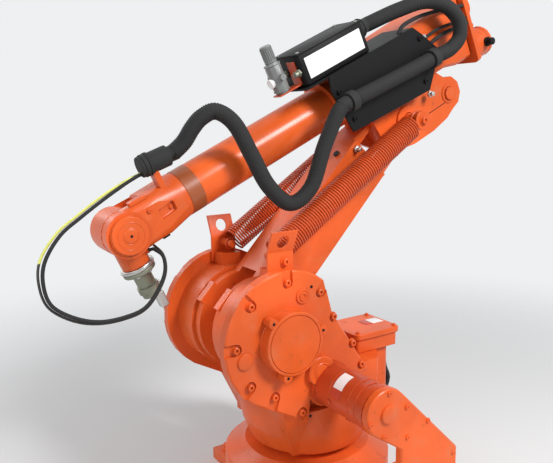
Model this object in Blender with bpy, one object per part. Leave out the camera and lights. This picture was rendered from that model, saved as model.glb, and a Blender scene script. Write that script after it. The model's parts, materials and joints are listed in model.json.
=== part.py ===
"""Six-axis arc-welding robot arm with a parallel linkage and two balance springs.

Metres, +Z up. The origin is the floor point under the turning axis of the stand, +X is
the way the arm reaches and +Y is the side of the arm that carries the hose.
"""

import math

import bmesh
import bpy
from mathutils import Matrix, Vector

# Kinematics of the arm
AXIS2_HEIGHT = 0.475
AXIS2_FORWARD = 0.150
LOWER_ARM_LENGTH = 0.600
AXIS4_OFFSET = 0.120
FOREARM_REACH = 0.720
WRIST_REACH = 0.085
LINK_LENGTH = 0.150
LOWER_ARM_TILT = math.radians(43.1)
FOREARM_PITCH = math.radians(25.5)
FLANGE_TURN = math.radians(204.7)

# Clearances between pieces
SEAT_GAP = 0.0003
RUNNING_GAP = 0.0005
OVERRUN = 0.010

# Number of sides of round pieces, by size
SIDES_LARGE = 36
SIDES_MEDIUM = 20
SIDES_SMALL = 10

# Base
FOOT_RADIUS = 0.225
FOOT_HALF_LENGTH = 0.290
FOOT_HALF_WIDTH = 0.111
FOOT_THICKNESS = 0.030
DRUM_RADIUS = 0.198
DRUM_HEIGHT = 0.140
RING_RADIUS = 0.150
STAND_FLOOR = 0.166
STUD_RADIUS = 0.0085
STUD_HEIGHT = 0.055
STUD_X = 0.096
STUD_Y = 0.190
COVER_BACK = 0.150
COVER_FRONT = 0.020
COVER_INNER = 0.205
COVER_OUTER = 0.245
COVER_TOP = 0.140
COVER_ROUNDING = 0.018

# Stand
BOWL_RADIUS = 0.170
BOWL_HEIGHT = 0.206
BOWL_SHARES = ((0.65, 0.0), (0.81, 0.092), (0.912, 0.306), (0.988, 0.626), (1.0, 0.82), (1.0, 1.0))
BOWL_HALF_WIDTH = 0.149
BOWL_STEP_HEIGHT = 0.134
WEDGE_LOW_SHARES = ((0.512, 0.294, 0.063), (0.624, 0.294, 0.078), (0.624, 0.588, 0.078), (0.512, 0.588, 0.063))
WEDGE_HIGH_SHARES = ((0.571, 0.294, 0.650), (1.0, 0.294, 0.869), (1.0, 0.876, 0.869), (0.571, 0.876, 0.650))
HUB_SPACE_RADIUS = 0.182
HUB_SPACE_HALF_WIDTH = 0.0557
PILLAR_BACK = 0.2015
PILLAR_FRONT = 0.070
PILLAR_HALF_WIDTH = 0.068
PILLAR_TOP = 0.372

# Gear housings at the sides of the stand
HOUSING_INNER = 0.056
HOUSING_STEP = 0.127
HOUSING_FACE = 0.151
HOUSING_RADIUS = 0.146
HOUSING_BODY_RADIUS = 0.119
HOUSING_CHAMFER = 0.003
RIM_ARC_START = math.radians(-55.0)
RIM_ARC_END = math.radians(130.0)
RIM_BACK_SHARES = ((-0.781, 0.274), (-1.466, -0.753))
RIM_TAIL_SHARES = (-0.349, -1.329)
RIM_FOOT_START = math.radians(190.0)
RIM_FOOT_END = math.radians(330.0)
COVER_RING_RADIUS = 0.074
COVER_RING_HEIGHT = 0.004
COVER_DISC_RADIUS = 0.062
COVER_DISC_HEIGHT = 0.029
COVER_DISC_EDGE = 0.002
BELT_RADIUS = 0.055
BELT_BODY_RADIUS = 0.050
BOLT_CIRCLE_SHARE = 0.829
BOLT_POCKET_RADIUS = 0.0125
BOLT_POCKET_DEPTH = 0.006
BOLT_POCKET_DEGREES = (-74.0, -42.0, 1.4, 44.7, 90.0, 132.5, 165.7)
TAIL_POCKET_SHARES = ((-0.233, -1.144), (-1.164, -0.274), (-1.336, -0.644))
TAIL_POCKET_DEGREES = (-61.0, 146.0, 146.0)
PLUG_BACK = 0.076
PLUG_DROP = 0.073
PLUG_RADIUS = 0.0255
PLUG_HEIGHT = 0.013
KNOB_FORWARD = 0.102
KNOB_DROP = 0.024
KNOB_RADIUS = 0.017
KNOB_HEIGHT = 0.005
LUG_BOTTOM = 0.105
LUG_TOP = 0.143
LUG_HALF_LENGTH = 0.024
LUG_INNER = 0.084

# Motors at the sides of the stand
MOTOR_BACK = 0.104
MOTOR_DROP = 0.115
MOTOR_X = AXIS2_FORWARD - MOTOR_BACK
MOTOR_Z = AXIS2_HEIGHT - MOTOR_DROP
MOTOR_RADIUS = 0.047
MOTOR_FLANGE_RADIUS = 0.050
MOTOR_FLANGE_LENGTH = 0.012
MOTOR_END = 0.318
MOTOR_COVER_THICKNESS = 0.020
MOTOR_COVER_RADIUS = 0.051
MOTOR_COVER_BOTTOM = 0.100
MOTOR_COVER_BACK = -0.152
MOTOR_COVER_FRONT = 0.007
MOTOR_COVER_BACK_TOP = 0.235
MOTOR_COVER_FRONT_TOP = 0.274
MOTOR_COVER_ARC_START = math.radians(-42.0)
MOTOR_COVER_ARC_END = math.radians(140.0)
MOTOR_BOSS_RADIUS = 0.017
MOTOR_BOSS_HEIGHT = 0.004

# Junction box behind the stand
BOX_BACK = -0.222
BOX_FRONT = -0.085
BOX_FAR = -0.038
BOX_NEAR = 0.087
BOX_FLOOR = 0.3723
BOX_DEPTH = 0.032
LID_THICKNESS = 0.015
BOX_INSET = 0.006
BOX_ROUNDING = 0.014

# Spring brackets and springs
BRACKET_INNER = 0.1195
BRACKET_THICKNESS = 0.006
BRACKET_RISE = 0.1195
BRACKET_HEIGHT = 0.1055
BRACKET_BEND_SHARE = 0.573
BRACKET_FLARE = 0.020
BRACKET_HALF_LENGTH = 0.031
BRACKET_HOLE_RADIUS = 0.014
BRACKET_HOLE_SHARE = 0.782
ANCHOR_SHARE = 0.431
ANCHOR_RADIUS = 0.009
SPRING_Y = 0.088
SPRING_RADIUS = 0.0265
SPRING_WIRE_RADIUS = 0.0024
SPRING_TURNS = 72
SPRING_STEPS = 6
SPRING_WIRE_SIDES = 4

# Lower arm, front is +X and along the arm is +Z in its own frame
ARM_HALF_WIDTH = 0.050
ARM_FRONT = 0.084
ARM_BACK = 0.038
ARM_WALL = 0.012
ARM_WEB = 0.024
ARM_HEAD_REACH = 0.145
ARM_NARROW_FROM = LOWER_ARM_LENGTH - ARM_HEAD_REACH
ARM_HUB_RADIUS = 0.112
ARM_HUB_HALF_WIDTH = 0.052
ARM_HEAD_RADIUS = 0.058
ARM_HEAD_HALF_WIDTH = 0.038
FORK_HALF_GAP = 0.030
STOP_LUG_FRONT = 0.118
STOP_LUG_LOW = -0.031
STOP_LUG_HIGH = 0.020
STOP_LUG_BACK = 0.080

# Lever, connecting rod and pins of the parallel linkage
LEVER_HALF_WIDTH = 0.022
LEVER_HUB_RADIUS = 0.044
LEVER_END_RADIUS = 0.022
LEVER_SHAFT_RADIUS = 0.034
LINK_PIN_RADIUS = 0.010
OPEN_PIVOT_GAP = 0.0015
ROD_HALF_WIDTH = 0.011
ROD_EYE_RADIUS = 0.022
ROD_RADIUS = 0.013
ROD_SPACE = 0.0268
ROD_SPACE_HALF_WIDTH = 0.018
ELBOW_PIN_RADIUS = 0.018
ELBOW_PIN_END = 0.108
ELBOW_COLLAR_RADIUS = 0.023
ELBOW_COLLAR_WIDTH = 0.006
ROD_PIN_HEAD_RADIUS = 0.016
ROD_PIN_HEAD_HEIGHT = 0.007

# Upper arm housing, forward is +X in its own frame and the elbow is its origin
CHEEK_INNER = 0.0385
CHEEK_OUTER = 0.0555
CHEEK_REACH = 0.117
CHEEK_SHARES = ((1.0, 0.667), (0.855, 0.427), (0.735, -0.171), (0.444, -0.444), (0.0, -0.530), (-0.60, -0.530),
                (-1.056, -0.462))
CHEEK_BACK_SHARES = (-1.0, 0.667)
BODY_HALF_WIDTH = 0.070
BODY_BOTTOM = 0.066
BODY_TOP = 0.186
BODY_FRONT = 0.150
NECK_FRONT = 0.180
NECK_RADIUS = 0.060
EAR_RADIUS = 0.042
REAR_PLATE_BACK = -0.262
REAR_PLATE_THICKNESS = 0.012
REAR_PLATE_LOW = 0.035
REAR_PLATE_HIGH = 0.214
REAR_PLATE_HALF_WIDTH = 0.084
REAR_MOTOR_LENGTH = 0.063
REAR_MOTOR_RADIUS = 0.037
REAR_MOTOR_SPREAD = 0.041
REAR_MOTOR_LOW = 0.068
REAR_MOTOR_HIGH = 0.160
REAR_MOTOR_CHAMFER = 0.004
STANDOFF_RADIUS = 0.010

# Side panel, wire-feed control box and air regulator
PANEL_INNER = 0.094
PANEL_THICKNESS = 0.004
PANEL_REACH = 0.207
PANEL_SHARES = ((1.0, 0.83), (0.908, 0.325), (-0.268, 0.253), (-0.580, 0.61), (-0.377, 0.895), (-0.29, 1.0), (0.966, 1.0))
SHELF_HEIGHT = 0.200
SHELF_BACK = 0.060
SHELF_FRONT = 0.262
SHELF_FAR = -0.004
CONTROL_BACK = 0.068
CONTROL_FRONT = 0.251
CONTROL_NEAR = 0.090
CONTROL_HEIGHT = 0.068
CONTROL_ROUNDING = 0.004
LABEL_BORDER = 0.012
LABEL_THICKNESS = 0.001
GLAND_RADIUS = 0.021
GLAND_LENGTH = 0.026
GLAND_Y = 0.052
GLAND_HEIGHT = 0.2465
REGULATOR_X = 0.296
REGULATOR_Y = 0.060
REGULATOR_BASE = 0.209
REGULATOR_RADIUS = 0.017
REGULATOR_BODY_HEIGHT = 0.066
REGULATOR_KNOB_RADIUS = 0.012
REGULATOR_KNOB_HEIGHT = 0.034
REGULATOR_PORT_RADIUS = 0.007
REGULATOR_PORT_LENGTH = 0.026
REGULATOR_BRACKET_HALF_WIDTH = 0.014
REGULATOR_BRACKET_THICKNESS = 0.003

# Forearm and wrist
TUBE_RADIUS = 0.0486
WRIST_CASTING_LENGTH = 0.145
WRIST_CASTING_BACK = FOREARM_REACH - WRIST_CASTING_LENGTH
WRIST_SHOULDER_LENGTH = 0.080
WRIST_SHOULDER = FOREARM_REACH - WRIST_SHOULDER_LENGTH
WRIST_NEAR = 0.062
WRIST_FAR = 0.036
WRIST_HALF_HEIGHT = 0.047
WRIST_CHEEK_RADIUS = 0.0445
WRIST_SLOT_NEAR = 0.0345
WRIST_SLOT_FAR = 0.0305
WRIST_SLOT_REACH = 0.140
WRIST_SLOT_SHARES = ((1.4, -1.0), (-0.50, -1.0), (-0.50, -0.186), (-0.345, -0.071), (-0.345, 0.114), (-0.514, 0.50),
                     (-0.679, 1.0), (1.4, 1.0))
WRIST_COVER_RADIUS = 0.039
WRIST_COVER_HEIGHT = 0.008
FAR_COVER_RADIUS = 0.034
WRIST_RING_RADIUS = 0.015
WRIST_PIN_RADIUS = 0.014
WRIST_PIN_NEAR = 0.052
WRIST_PIN_FAR = 0.0335
WRIST_BODY_RADIUS = 0.0455
WRIST_NECK_RADIUS = 0.0295
WRIST_NECK_END = 0.076
FLANGE_RADIUS = 0.0345
ADAPTOR_RADIUS = 0.019
ADAPTOR_END = 0.150
ADAPTOR_PLATE_THICKNESS = 0.008
TOOL_BLOCK_LENGTH = 0.018
TOOL_BLOCK_WIDTH = 0.020
TOOL_BLOCK_HEIGHT = 0.036
TOOL_BLOCK_OFFSET = 0.0125
FRONT_GLAND_BACK = 0.147
FRONT_GLAND_X = FOREARM_REACH - FRONT_GLAND_BACK
FRONT_GLAND_Y = 0.032
FRONT_GLAND_Z = 0.089
FRONT_GLAND_RADIUS = 0.021
FRONT_GLAND_RISE = math.radians(5.0)
FRONT_GLAND_LENGTH = 0.062
GLAND_PAD_START = 0.034
GLAND_PAD_LENGTH = 0.012
GLAND_PAD_HALF_WIDTH = 0.012

# Hose, signal cable and earth wire
HOSE_RADIUS = 0.017
CLAMP_RADIUS = 0.0215
CLAMP_WIDTH = 0.018
CLAMP_FOOT_HALF_WIDTH = 0.012
SIGNAL_RADIUS = 0.0035
EARTH_RADIUS = 0.0025
DROP_CABLE_RADIUS = 0.0065
CORD_SPACING_DIAMETERS = 2.0
THIN_CORD_SPACING_DIAMETERS = 3.0
STRAIGHT_RUN = 0.014
FRONT_CLAMP = (0.183, 0.1195, 0.135)
FRONT_CLAMP_HEADING = (1.0, 0.0, 0.06)
REAR_CLAMP = (-0.072, 0.1195, 0.1205)
REAR_CLAMP_HEADING = (1.0, 0.0, 0.05)
CLAMP_END_SHARE = 0.6
HOSE_SPACING_DIAMETERS = 1.1
WIRE_EXIT_DROP = 0.012
SIGNAL_EXIT_OFFSET = 0.004
EARTH_EXIT_OFFSET = -0.006
SOCKET_REACH = 0.037
SOCKET_HEIGHT = 0.058
SOCKET_RADIUS = 0.0055
SIGNAL_SOCKET_ANGLE = math.radians(38.0)
EARTH_SOCKET_ANGLE = math.radians(5.0)
DROP_CABLE_X = -0.2092
DROP_CABLE_Y = 0.012
DROP_CABLE_PITCH = 0.026
DROP_BOSS_Z = 0.240
DROP_BOSS_HEIGHT = 0.006
DROP_BOSS_RADIUS = 0.011

ORANGE = ((0.78, 0.12, 0.022), 0.38, 0.0)
DEEP_ORANGE = ((0.62, 0.075, 0.018), 0.42, 0.0)
BLACK = ((0.012, 0.012, 0.013), 0.55, 0.0)
HOSE_BLACK = ((0.008, 0.008, 0.009), 0.45, 0.0)
WHITE = ((0.80, 0.80, 0.78), 0.45, 0.0)
PALE_GREY = ((0.42, 0.44, 0.44), 0.45, 0.0)
STEEL = ((0.45, 0.46, 0.46), 0.35, 1.0)
OLIVE_GREY = ((0.30, 0.31, 0.24), 0.45, 0.6)
YELLOW_GREEN = ((0.60, 0.62, 0.05), 0.50, 0.0)

AXIS2 = Vector((AXIS2_FORWARD, 0, AXIS2_HEIGHT))


def turned_about_y(angle):
    """Rotation about Y as a 4 x 4 matrix."""
    return Matrix.Rotation(angle, 4, "Y")


LOWER_ARM_PLACE = Matrix.Translation(AXIS2) @ turned_about_y(-LOWER_ARM_TILT)
ELBOW = LOWER_ARM_PLACE @ Vector((0, 0, LOWER_ARM_LENGTH))
UPPER_ARM_PLACE = Matrix.Translation(ELBOW) @ turned_about_y(FOREARM_PITCH)
EAR = UPPER_ARM_PLACE @ Vector((-LINK_LENGTH, 0, 0))
FOREARM_PLACE = UPPER_ARM_PLACE @ Matrix.Translation((0, 0, AXIS4_OFFSET))
WRIST_CENTRE = FOREARM_PLACE @ Vector((FOREARM_REACH, 0, 0))
FLANGE_PLACE = Matrix.Translation(WRIST_CENTRE) @ turned_about_y(FLANGE_TURN)

BODY_PLACES = {
    "base": Matrix.Identity(4),
    "stand": Matrix.Identity(4),
    "lower_arm": LOWER_ARM_PLACE,
    "elbow_pin": Matrix.Translation(ELBOW),
    "upper_arm": UPPER_ARM_PLACE,
    "lever": Matrix.Translation(AXIS2) @ turned_about_y(FOREARM_PITCH),
    "rod_pin": Matrix.Translation(EAR),
    "rod": Matrix.Translation(EAR) @ turned_about_y(-LOWER_ARM_TILT),
    "forearm": FOREARM_PLACE,
    "wrist": FLANGE_PLACE,
    "tool_flange": FLANGE_PLACE,
}

bodies = {}


def clear_scene():
    for item in list(bpy.data.objects):
        bpy.data.objects.remove(item, do_unlink=True)


def make_bodies():
    """One empty at each joint, which carries the pieces of that body."""
    for name, place in BODY_PLACES.items():
        empty = bpy.data.objects.new("body_" + name, None)
        bpy.context.scene.collection.objects.link(empty)
        empty.matrix_world = place
        bodies[name] = empty


def material(name, finish):
    colour, roughness, metallic = finish
    made = bpy.data.materials.new(name)
    made.use_nodes = True
    shader = made.node_tree.nodes["Principled BSDF"]
    shader.inputs["Base Color"].default_value = (*colour, 1)
    shader.inputs["Roughness"].default_value = roughness
    shader.inputs["Metallic"].default_value = metallic
    made.diffuse_color = (*colour, 1)
    return made


def mesh_object(work, name="solid"):
    """Turn a bmesh into an object whose faces point outwards."""
    bmesh.ops.recalc_face_normals(work, faces=work.faces)
    mesh = bpy.data.meshes.new(name)
    work.to_mesh(mesh)
    work.free()
    made = bpy.data.objects.new(name, mesh)
    bpy.context.scene.collection.objects.link(made)
    return made


def loft(rings):
    """Skin rings of equal point counts and close both ends."""
    work = bmesh.new()
    loops = [[work.verts.new(point) for point in ring] for ring in rings]
    for lower, upper in zip(loops, loops[1:]):
        for index in range(len(lower)):
            after = (index + 1) % len(lower)
            work.faces.new((lower[index], lower[after], upper[after], upper[index]))
    work.faces.new(loops[0])
    work.faces.new(list(reversed(loops[-1])))
    return mesh_object(work)


def prism(outline, low, high, along="Y"):
    """Extrude a flat outline: (x, z) along Y, (x, y) along Z or (y, z) along X."""
    def at(first, second, depth):
        if along == "Y":
            return (first, depth, second)
        if along == "Z":
            return (first, second, depth)
        return (depth, first, second)
    return loft([[at(a, b, low) for a, b in outline], [at(a, b, high) for a, b in outline]])


def box(low, high):
    x0, y0, z0 = low
    x1, y1, z1 = high
    return prism([(x0, z0), (x1, z0), (x1, z1), (x0, z1)], y0, y1)


def arc(centre, radius, start, end, count):
    """Points on an arc, ends included, angles in radians from the first axis."""
    steps = [start + (end - start) * index / count for index in range(count + 1)]
    return [(centre[0] + radius * math.cos(a), centre[1] + radius * math.sin(a)) for a in steps]


def circle(centre, radius, sides):
    return arc(centre, radius, 0, math.tau * (sides - 1) / sides, sides - 1)


def turned(profile, sides, along="Y", centre=(0, 0)):
    """Revolve (radius, depth) pairs about a line parallel to an axis."""
    def at(angle, radius, depth):
        first = centre[0] + radius * math.cos(angle)
        second = centre[1] + radius * math.sin(angle)
        if along == "Y":
            return (first, depth, second)
        if along == "Z":
            return (first, second, depth)
        return (depth, first, second)
    angles = [math.tau * index / sides for index in range(sides)]
    return loft([[at(a, radius, depth) for a in angles] for radius, depth in profile])


def rounded_rectangle(low, high, radius, count=4):
    """Corner arcs of a rectangle, anticlockwise from the low second side."""
    quarter = math.pi / 2
    corners = (
        ((high[0] - radius, low[1] + radius), -quarter),
        ((high[0] - radius, high[1] - radius), 0),
        ((low[0] + radius, high[1] - radius), quarter),
        ((low[0] + radius, low[1] + radius), math.pi),
    )
    points = []
    for centre, start in corners:
        points += arc(centre, radius, start, start + quarter, count)
    return points


def belt_outline(first, first_radius, second, second_radius, sides):
    """Outline round two circles with their outer tangents."""
    offset = Vector(second) - Vector(first)
    heading = math.atan2(offset.y, offset.x)
    lean = math.acos((first_radius - second_radius) / offset.length)
    far = arc(second, second_radius, heading - lean, heading + lean, sides // 2)
    near = arc(first, first_radius, heading + lean, heading - lean + math.tau, sides // 2)
    return far + near


def bake(target):
    """Replace an object's mesh by its evaluated one and drop the modifiers."""
    bpy.context.view_layer.update()
    graph = bpy.context.evaluated_depsgraph_get()
    mesh = bpy.data.meshes.new_from_object(target.evaluated_get(graph))
    target.modifiers.clear()
    target.data = mesh


def combine(target, others, operation):
    for other in others:
        step = target.modifiers.new(operation, "BOOLEAN")
        step.operation = operation
        step.object = other
    bake(target)
    for other in others:
        bpy.data.objects.remove(other, do_unlink=True)
    return target


def union(target, *others):
    return combine(target, others, "UNION")


def cut(target, *cutters):
    return combine(target, cutters, "DIFFERENCE")


def bevelled(target, width, segments=1):
    step = target.modifiers.new("edges", "BEVEL")
    step.width = width
    step.segments = segments
    step.limit_method = "ANGLE"
    bake(target)
    return target


def piece(name, body, solid, finish):
    """Name a solid, colour it and hang it on its body."""
    solid.name = name
    solid.data.name = name
    solid.data.materials.clear()
    solid.data.materials.append(material(name + "_finish", finish))
    solid.parent = bodies[body]
    solid.data.shade_smooth()
    solid.data.set_sharp_from_angle(angle=math.radians(35))
    return solid


def moved(solid, matrix):
    solid.data.transform(matrix)
    if matrix.determinant() < 0:
        solid.data.flip_normals()
    return solid


def side_name(side):
    return "near" if side > 0 else "far"


def sided(low, high, side):
    """A span of Y on one side of the arm, low end first."""
    return (low, high) if side > 0 else (-high, -low)


def smooth_route(points, spacing):
    """Evenly spaced points along a smooth curve through the route's own points."""
    ends = [points[0] * 2 - points[1]] + points + [points[-1] * 2 - points[-2]]
    fine = []
    steps = 24
    for first, second, third, fourth in zip(ends, ends[1:], ends[2:], ends[3:]):
        for index in range(steps):
            t = index / steps
            pull = (third - first) * t
            bend = (first * 2 - second * 5 + third * 4 - fourth) * t ** 2
            twist = (second * 3 - first - third * 3 + fourth) * t ** 3
            fine.append((second * 2 + pull + bend + twist) / 2)
    fine.append(points[-1])
    lengths = [0]
    for first, second in zip(fine, fine[1:]):
        lengths.append(lengths[-1] + (second - first).length)
    count = max(2, round(lengths[-1] / spacing))
    route = []
    cursor = 0
    for index in range(count + 1):
        wanted = lengths[-1] * index / count
        while cursor < len(fine) - 2 and lengths[cursor + 1] < wanted:
            cursor += 1
        span = lengths[cursor + 1] - lengths[cursor]
        share = (wanted - lengths[cursor]) / span if span else 0
        route.append(fine[cursor].lerp(fine[cursor + 1], min(share, 1)))
    return route


def cord(name, body, stretches, radius, finish, resolution=2, spacing=CORD_SPACING_DIAMETERS):
    """A round tube along its route: smooth stretches, joined by straight runs."""
    route = []
    for stretch in stretches:
        points = [Vector(point) for point in stretch]
        if len(points) > 2:
            points = smooth_route(points, radius * 2 * spacing)
        route += points
    curve = bpy.data.curves.new(name, "CURVE")
    curve.dimensions = "3D"
    curve.bevel_depth = radius
    curve.bevel_resolution = resolution
    curve.use_fill_caps = True
    spline = curve.splines.new("POLY")
    spline.points.add(len(route) - 1)
    for point, place in zip(spline.points, route):
        point.co = (*place, 1)
    made = bpy.data.objects.new(name, curve)
    bpy.context.scene.collection.objects.link(made)
    curve.materials.append(material(name + "_finish", finish))
    made.parent = bodies[body]
    return made


def make_base():
    reach = math.asin(FOOT_HALF_WIDTH / FOOT_RADIUS)
    outline = []
    for turn in (0, math.pi):
        flip = 1 if turn == 0 else -1
        outline.append((FOOT_HALF_WIDTH * flip, -FOOT_HALF_LENGTH * flip))
        quarter = math.pi / 2
        outline += arc((0, 0), FOOT_RADIUS, turn - quarter + reach, turn + quarter - reach, SIDES_SMALL)
        outline.append((FOOT_HALF_WIDTH * flip, FOOT_HALF_LENGTH * flip))
    foot = prism(outline, 0, FOOT_THICKNESS, "Z")
    drum = turned([
        (DRUM_RADIUS, FOOT_THICKNESS / 2),
        (DRUM_RADIUS, DRUM_HEIGHT),
        (RING_RADIUS + OVERRUN, STAND_FLOOR - OVERRUN),
        (RING_RADIUS, STAND_FLOOR - SEAT_GAP),
    ], SIDES_LARGE, "Z")
    piece("base_casting", "base", union(foot, drum), ORANGE)

    block = prism(rounded_rectangle((-COVER_BACK, FOOT_THICKNESS + SEAT_GAP), (-COVER_FRONT, COVER_TOP),
                                    COVER_ROUNDING), COVER_INNER - COVER_ROUNDING, COVER_OUTER)
    seat = turned([(DRUM_RADIUS + SEAT_GAP, 0), (DRUM_RADIUS + SEAT_GAP, STAND_FLOOR)], SIDES_LARGE, "Z")
    piece("base_connector_cover", "base", cut(block, seat), ORANGE)

    places = (("near_front", STUD_X, STUD_Y), ("far_front", STUD_X, -STUD_Y), ("far_rear", -STUD_X, -STUD_Y))
    for name, x, y in places:
        low = FOOT_THICKNESS + SEAT_GAP
        profile = [(STUD_RADIUS, low), (STUD_RADIUS, low + STUD_HEIGHT)]
        piece(name + "_floor_stud", "base", turned(profile, SIDES_SMALL, "Z", (x, y)), ORANGE)


def rim_outline(grow):
    """Edge of the gear housing's front plate: the hub's disc, its tail and the foot round the motor."""
    unit = HOUSING_RADIUS
    outline = arc((0, 0), unit, RIM_ARC_START, RIM_ARC_END, SIDES_LARGE // 2)
    outline += [(unit * x, unit * z) for x, z in RIM_BACK_SHARES]
    outline += arc((-MOTOR_BACK, -MOTOR_DROP), BELT_RADIUS, RIM_FOOT_START, RIM_FOOT_END, SIDES_SMALL)
    outline.append((unit * RIM_TAIL_SHARES[0], unit * RIM_TAIL_SHARES[1]))
    scale = 1 + grow / HOUSING_BODY_RADIUS
    return [(AXIS2_FORWARD + x * scale, AXIS2_HEIGHT + z * scale) for x, z in outline]


def housing_solid(side, grow=0):
    """Gear housing with its belt tail, or its seat in the stand when grown."""
    hub = (AXIS2_FORWARD, AXIS2_HEIGHT)
    motor = (MOTOR_X, MOTOR_Z)
    body = belt_outline(hub, HOUSING_BODY_RADIUS + grow, motor, BELT_BODY_RADIUS + grow, SIDES_LARGE)
    back = prism(body, *sided(HOUSING_INNER - grow, HOUSING_STEP + RUNNING_GAP, side))
    rim = rim_outline(grow)
    edge = rim_outline(grow - HOUSING_CHAMFER)
    plate = loft([
        [(x, (HOUSING_STEP - grow) * side, z) for x, z in rim],
        [(x, (HOUSING_FACE - HOUSING_CHAMFER + grow) * side, z) for x, z in rim],
        [(x, (HOUSING_FACE + grow) * side, z) for x, z in edge],
    ])
    return union(back, plate)


def bolt_pocket(centre, heading, side):
    """Cutter for a bolt's pocket that opens through the rim along a heading."""
    out = Vector((math.cos(heading), math.sin(heading)))
    across = Vector((-out.y, out.x)) * BOLT_POCKET_RADIUS
    quarter = math.pi / 2
    outline = arc(centre, BOLT_POCKET_RADIUS, heading + quarter, heading + quarter * 3, SIDES_SMALL // 2)
    far = Vector(centre) + out * HOUSING_RADIUS
    outline += [tuple(far - across), tuple(far + across)]
    return prism(outline, *sided(HOUSING_FACE - BOLT_POCKET_DEPTH, HOUSING_FACE + OVERRUN, side))


def face_boss(side, back, drop, radius, height):
    """Round boss on the face of a gear housing, placed from axis 2."""
    span = [(radius, HOUSING_FACE - HOUSING_CHAMFER), (radius, HOUSING_FACE + height * 0.75),
            (radius * 0.7, HOUSING_FACE + height)]
    return turned([(r, depth * side) for r, depth in span], SIDES_MEDIUM, "Y", (AXIS2.x - back, AXIS2.z - drop))


def make_housing(side):
    name = side_name(side)
    solid = housing_solid(side)
    inner, outer = sided(LUG_INNER, BRACKET_INNER - SEAT_GAP, side)
    lug = box((AXIS2.x - LUG_HALF_LENGTH, inner, AXIS2.z + LUG_BOTTOM),
              (AXIS2.x + LUG_HALF_LENGTH, outer, AXIS2.z + LUG_TOP))
    pockets = []
    for degrees in BOLT_POCKET_DEGREES:
        heading = math.radians(degrees)
        reach = HOUSING_RADIUS * BOLT_CIRCLE_SHARE
        centre = (AXIS2.x + reach * math.cos(heading), AXIS2.z + reach * math.sin(heading))
        pockets.append(bolt_pocket(centre, heading, side))
    for (x, z), degrees in zip(TAIL_POCKET_SHARES, TAIL_POCKET_DEGREES):
        centre = (AXIS2.x + HOUSING_RADIUS * x, AXIS2.z + HOUSING_RADIUS * z)
        pockets.append(bolt_pocket(centre, math.radians(degrees), side))
    cut(solid, *pockets)
    union(solid, lug, face_boss(side, PLUG_BACK, PLUG_DROP, PLUG_RADIUS, PLUG_HEIGHT),
          face_boss(side, -KNOB_FORWARD, KNOB_DROP, KNOB_RADIUS, KNOB_HEIGHT))
    piece(name + "_gear_housing", "stand", solid, ORANGE)

    low = HOUSING_FACE + SEAT_GAP
    high = HOUSING_FACE + COVER_DISC_HEIGHT
    span = [(COVER_RING_RADIUS, low), (COVER_RING_RADIUS, low + COVER_RING_HEIGHT),
            (COVER_DISC_RADIUS, low + COVER_RING_HEIGHT), (COVER_DISC_RADIUS, high - COVER_DISC_EDGE),
            (COVER_DISC_RADIUS - COVER_DISC_EDGE, high)]
    disc = turned([(radius, depth * side) for radius, depth in span], SIDES_LARGE, "Y", (AXIS2.x, AXIS2.z))
    piece(name + "_gear_cover", "stand", disc, ORANGE)


def make_stand():
    profile = [(BOWL_RADIUS * radius, STAND_FLOOR + BOWL_HEIGHT * height) for radius, height in BOWL_SHARES]
    bowl = turned(profile, SIDES_LARGE, "Z")
    step = STAND_FLOOR + BOWL_STEP_HEIGHT
    top = PILLAR_TOP + OVERRUN
    trims = []
    for side in (1, -1):
        inner, outer = sided(BOWL_HALF_WIDTH, BOWL_RADIUS + OVERRUN, side)
        trims.append(box((-BOWL_RADIUS, inner, STAND_FLOOR), (BOWL_RADIUS, outer, top)))
        inner, outer = sided(HOUSING_STEP - SEAT_GAP, BOWL_RADIUS + OVERRUN, side)
        trims.append(box((-BOWL_RADIUS - OVERRUN, inner, step), (BOWL_RADIUS + OVERRUN, outer, top)))
    cut(bowl, *trims)
    parts = []
    for side in (1, -1):
        rings = []
        for shares in (WEDGE_LOW_SHARES, WEDGE_HIGH_SHARES):
            rings.append([(BOWL_RADIUS * x, BOWL_RADIUS * y * side, STAND_FLOOR + BOWL_HEIGHT * z) for x, y, z in shares])
        parts.append(loft(rings))
    parts.append(prism(rounded_rectangle((-PILLAR_BACK, -PILLAR_HALF_WIDTH), (-PILLAR_FRONT + OVERRUN, PILLAR_HALF_WIDTH),
                                         BOX_ROUNDING), STAND_FLOOR + BOWL_HEIGHT / 4, PILLAR_TOP, "Z"))
    for y in (DROP_CABLE_Y, DROP_CABLE_Y + DROP_CABLE_PITCH):
        parts.append(turned([(DROP_BOSS_RADIUS, -PILLAR_BACK - DROP_BOSS_HEIGHT), (DROP_BOSS_RADIUS, -PILLAR_FRONT)],
                            SIDES_SMALL, "X", (y, DROP_BOSS_Z)))
    union(bowl, *parts)
    space = turned([(HUB_SPACE_RADIUS, -HUB_SPACE_HALF_WIDTH), (HUB_SPACE_RADIUS, HUB_SPACE_HALF_WIDTH)],
                   SIDES_LARGE, "Y", (AXIS2.x, AXIS2.z))
    cut(bowl, housing_solid(1, SEAT_GAP), housing_solid(-1, SEAT_GAP), space)
    piece("stand_casting", "stand", bowl, ORANGE)


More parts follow.
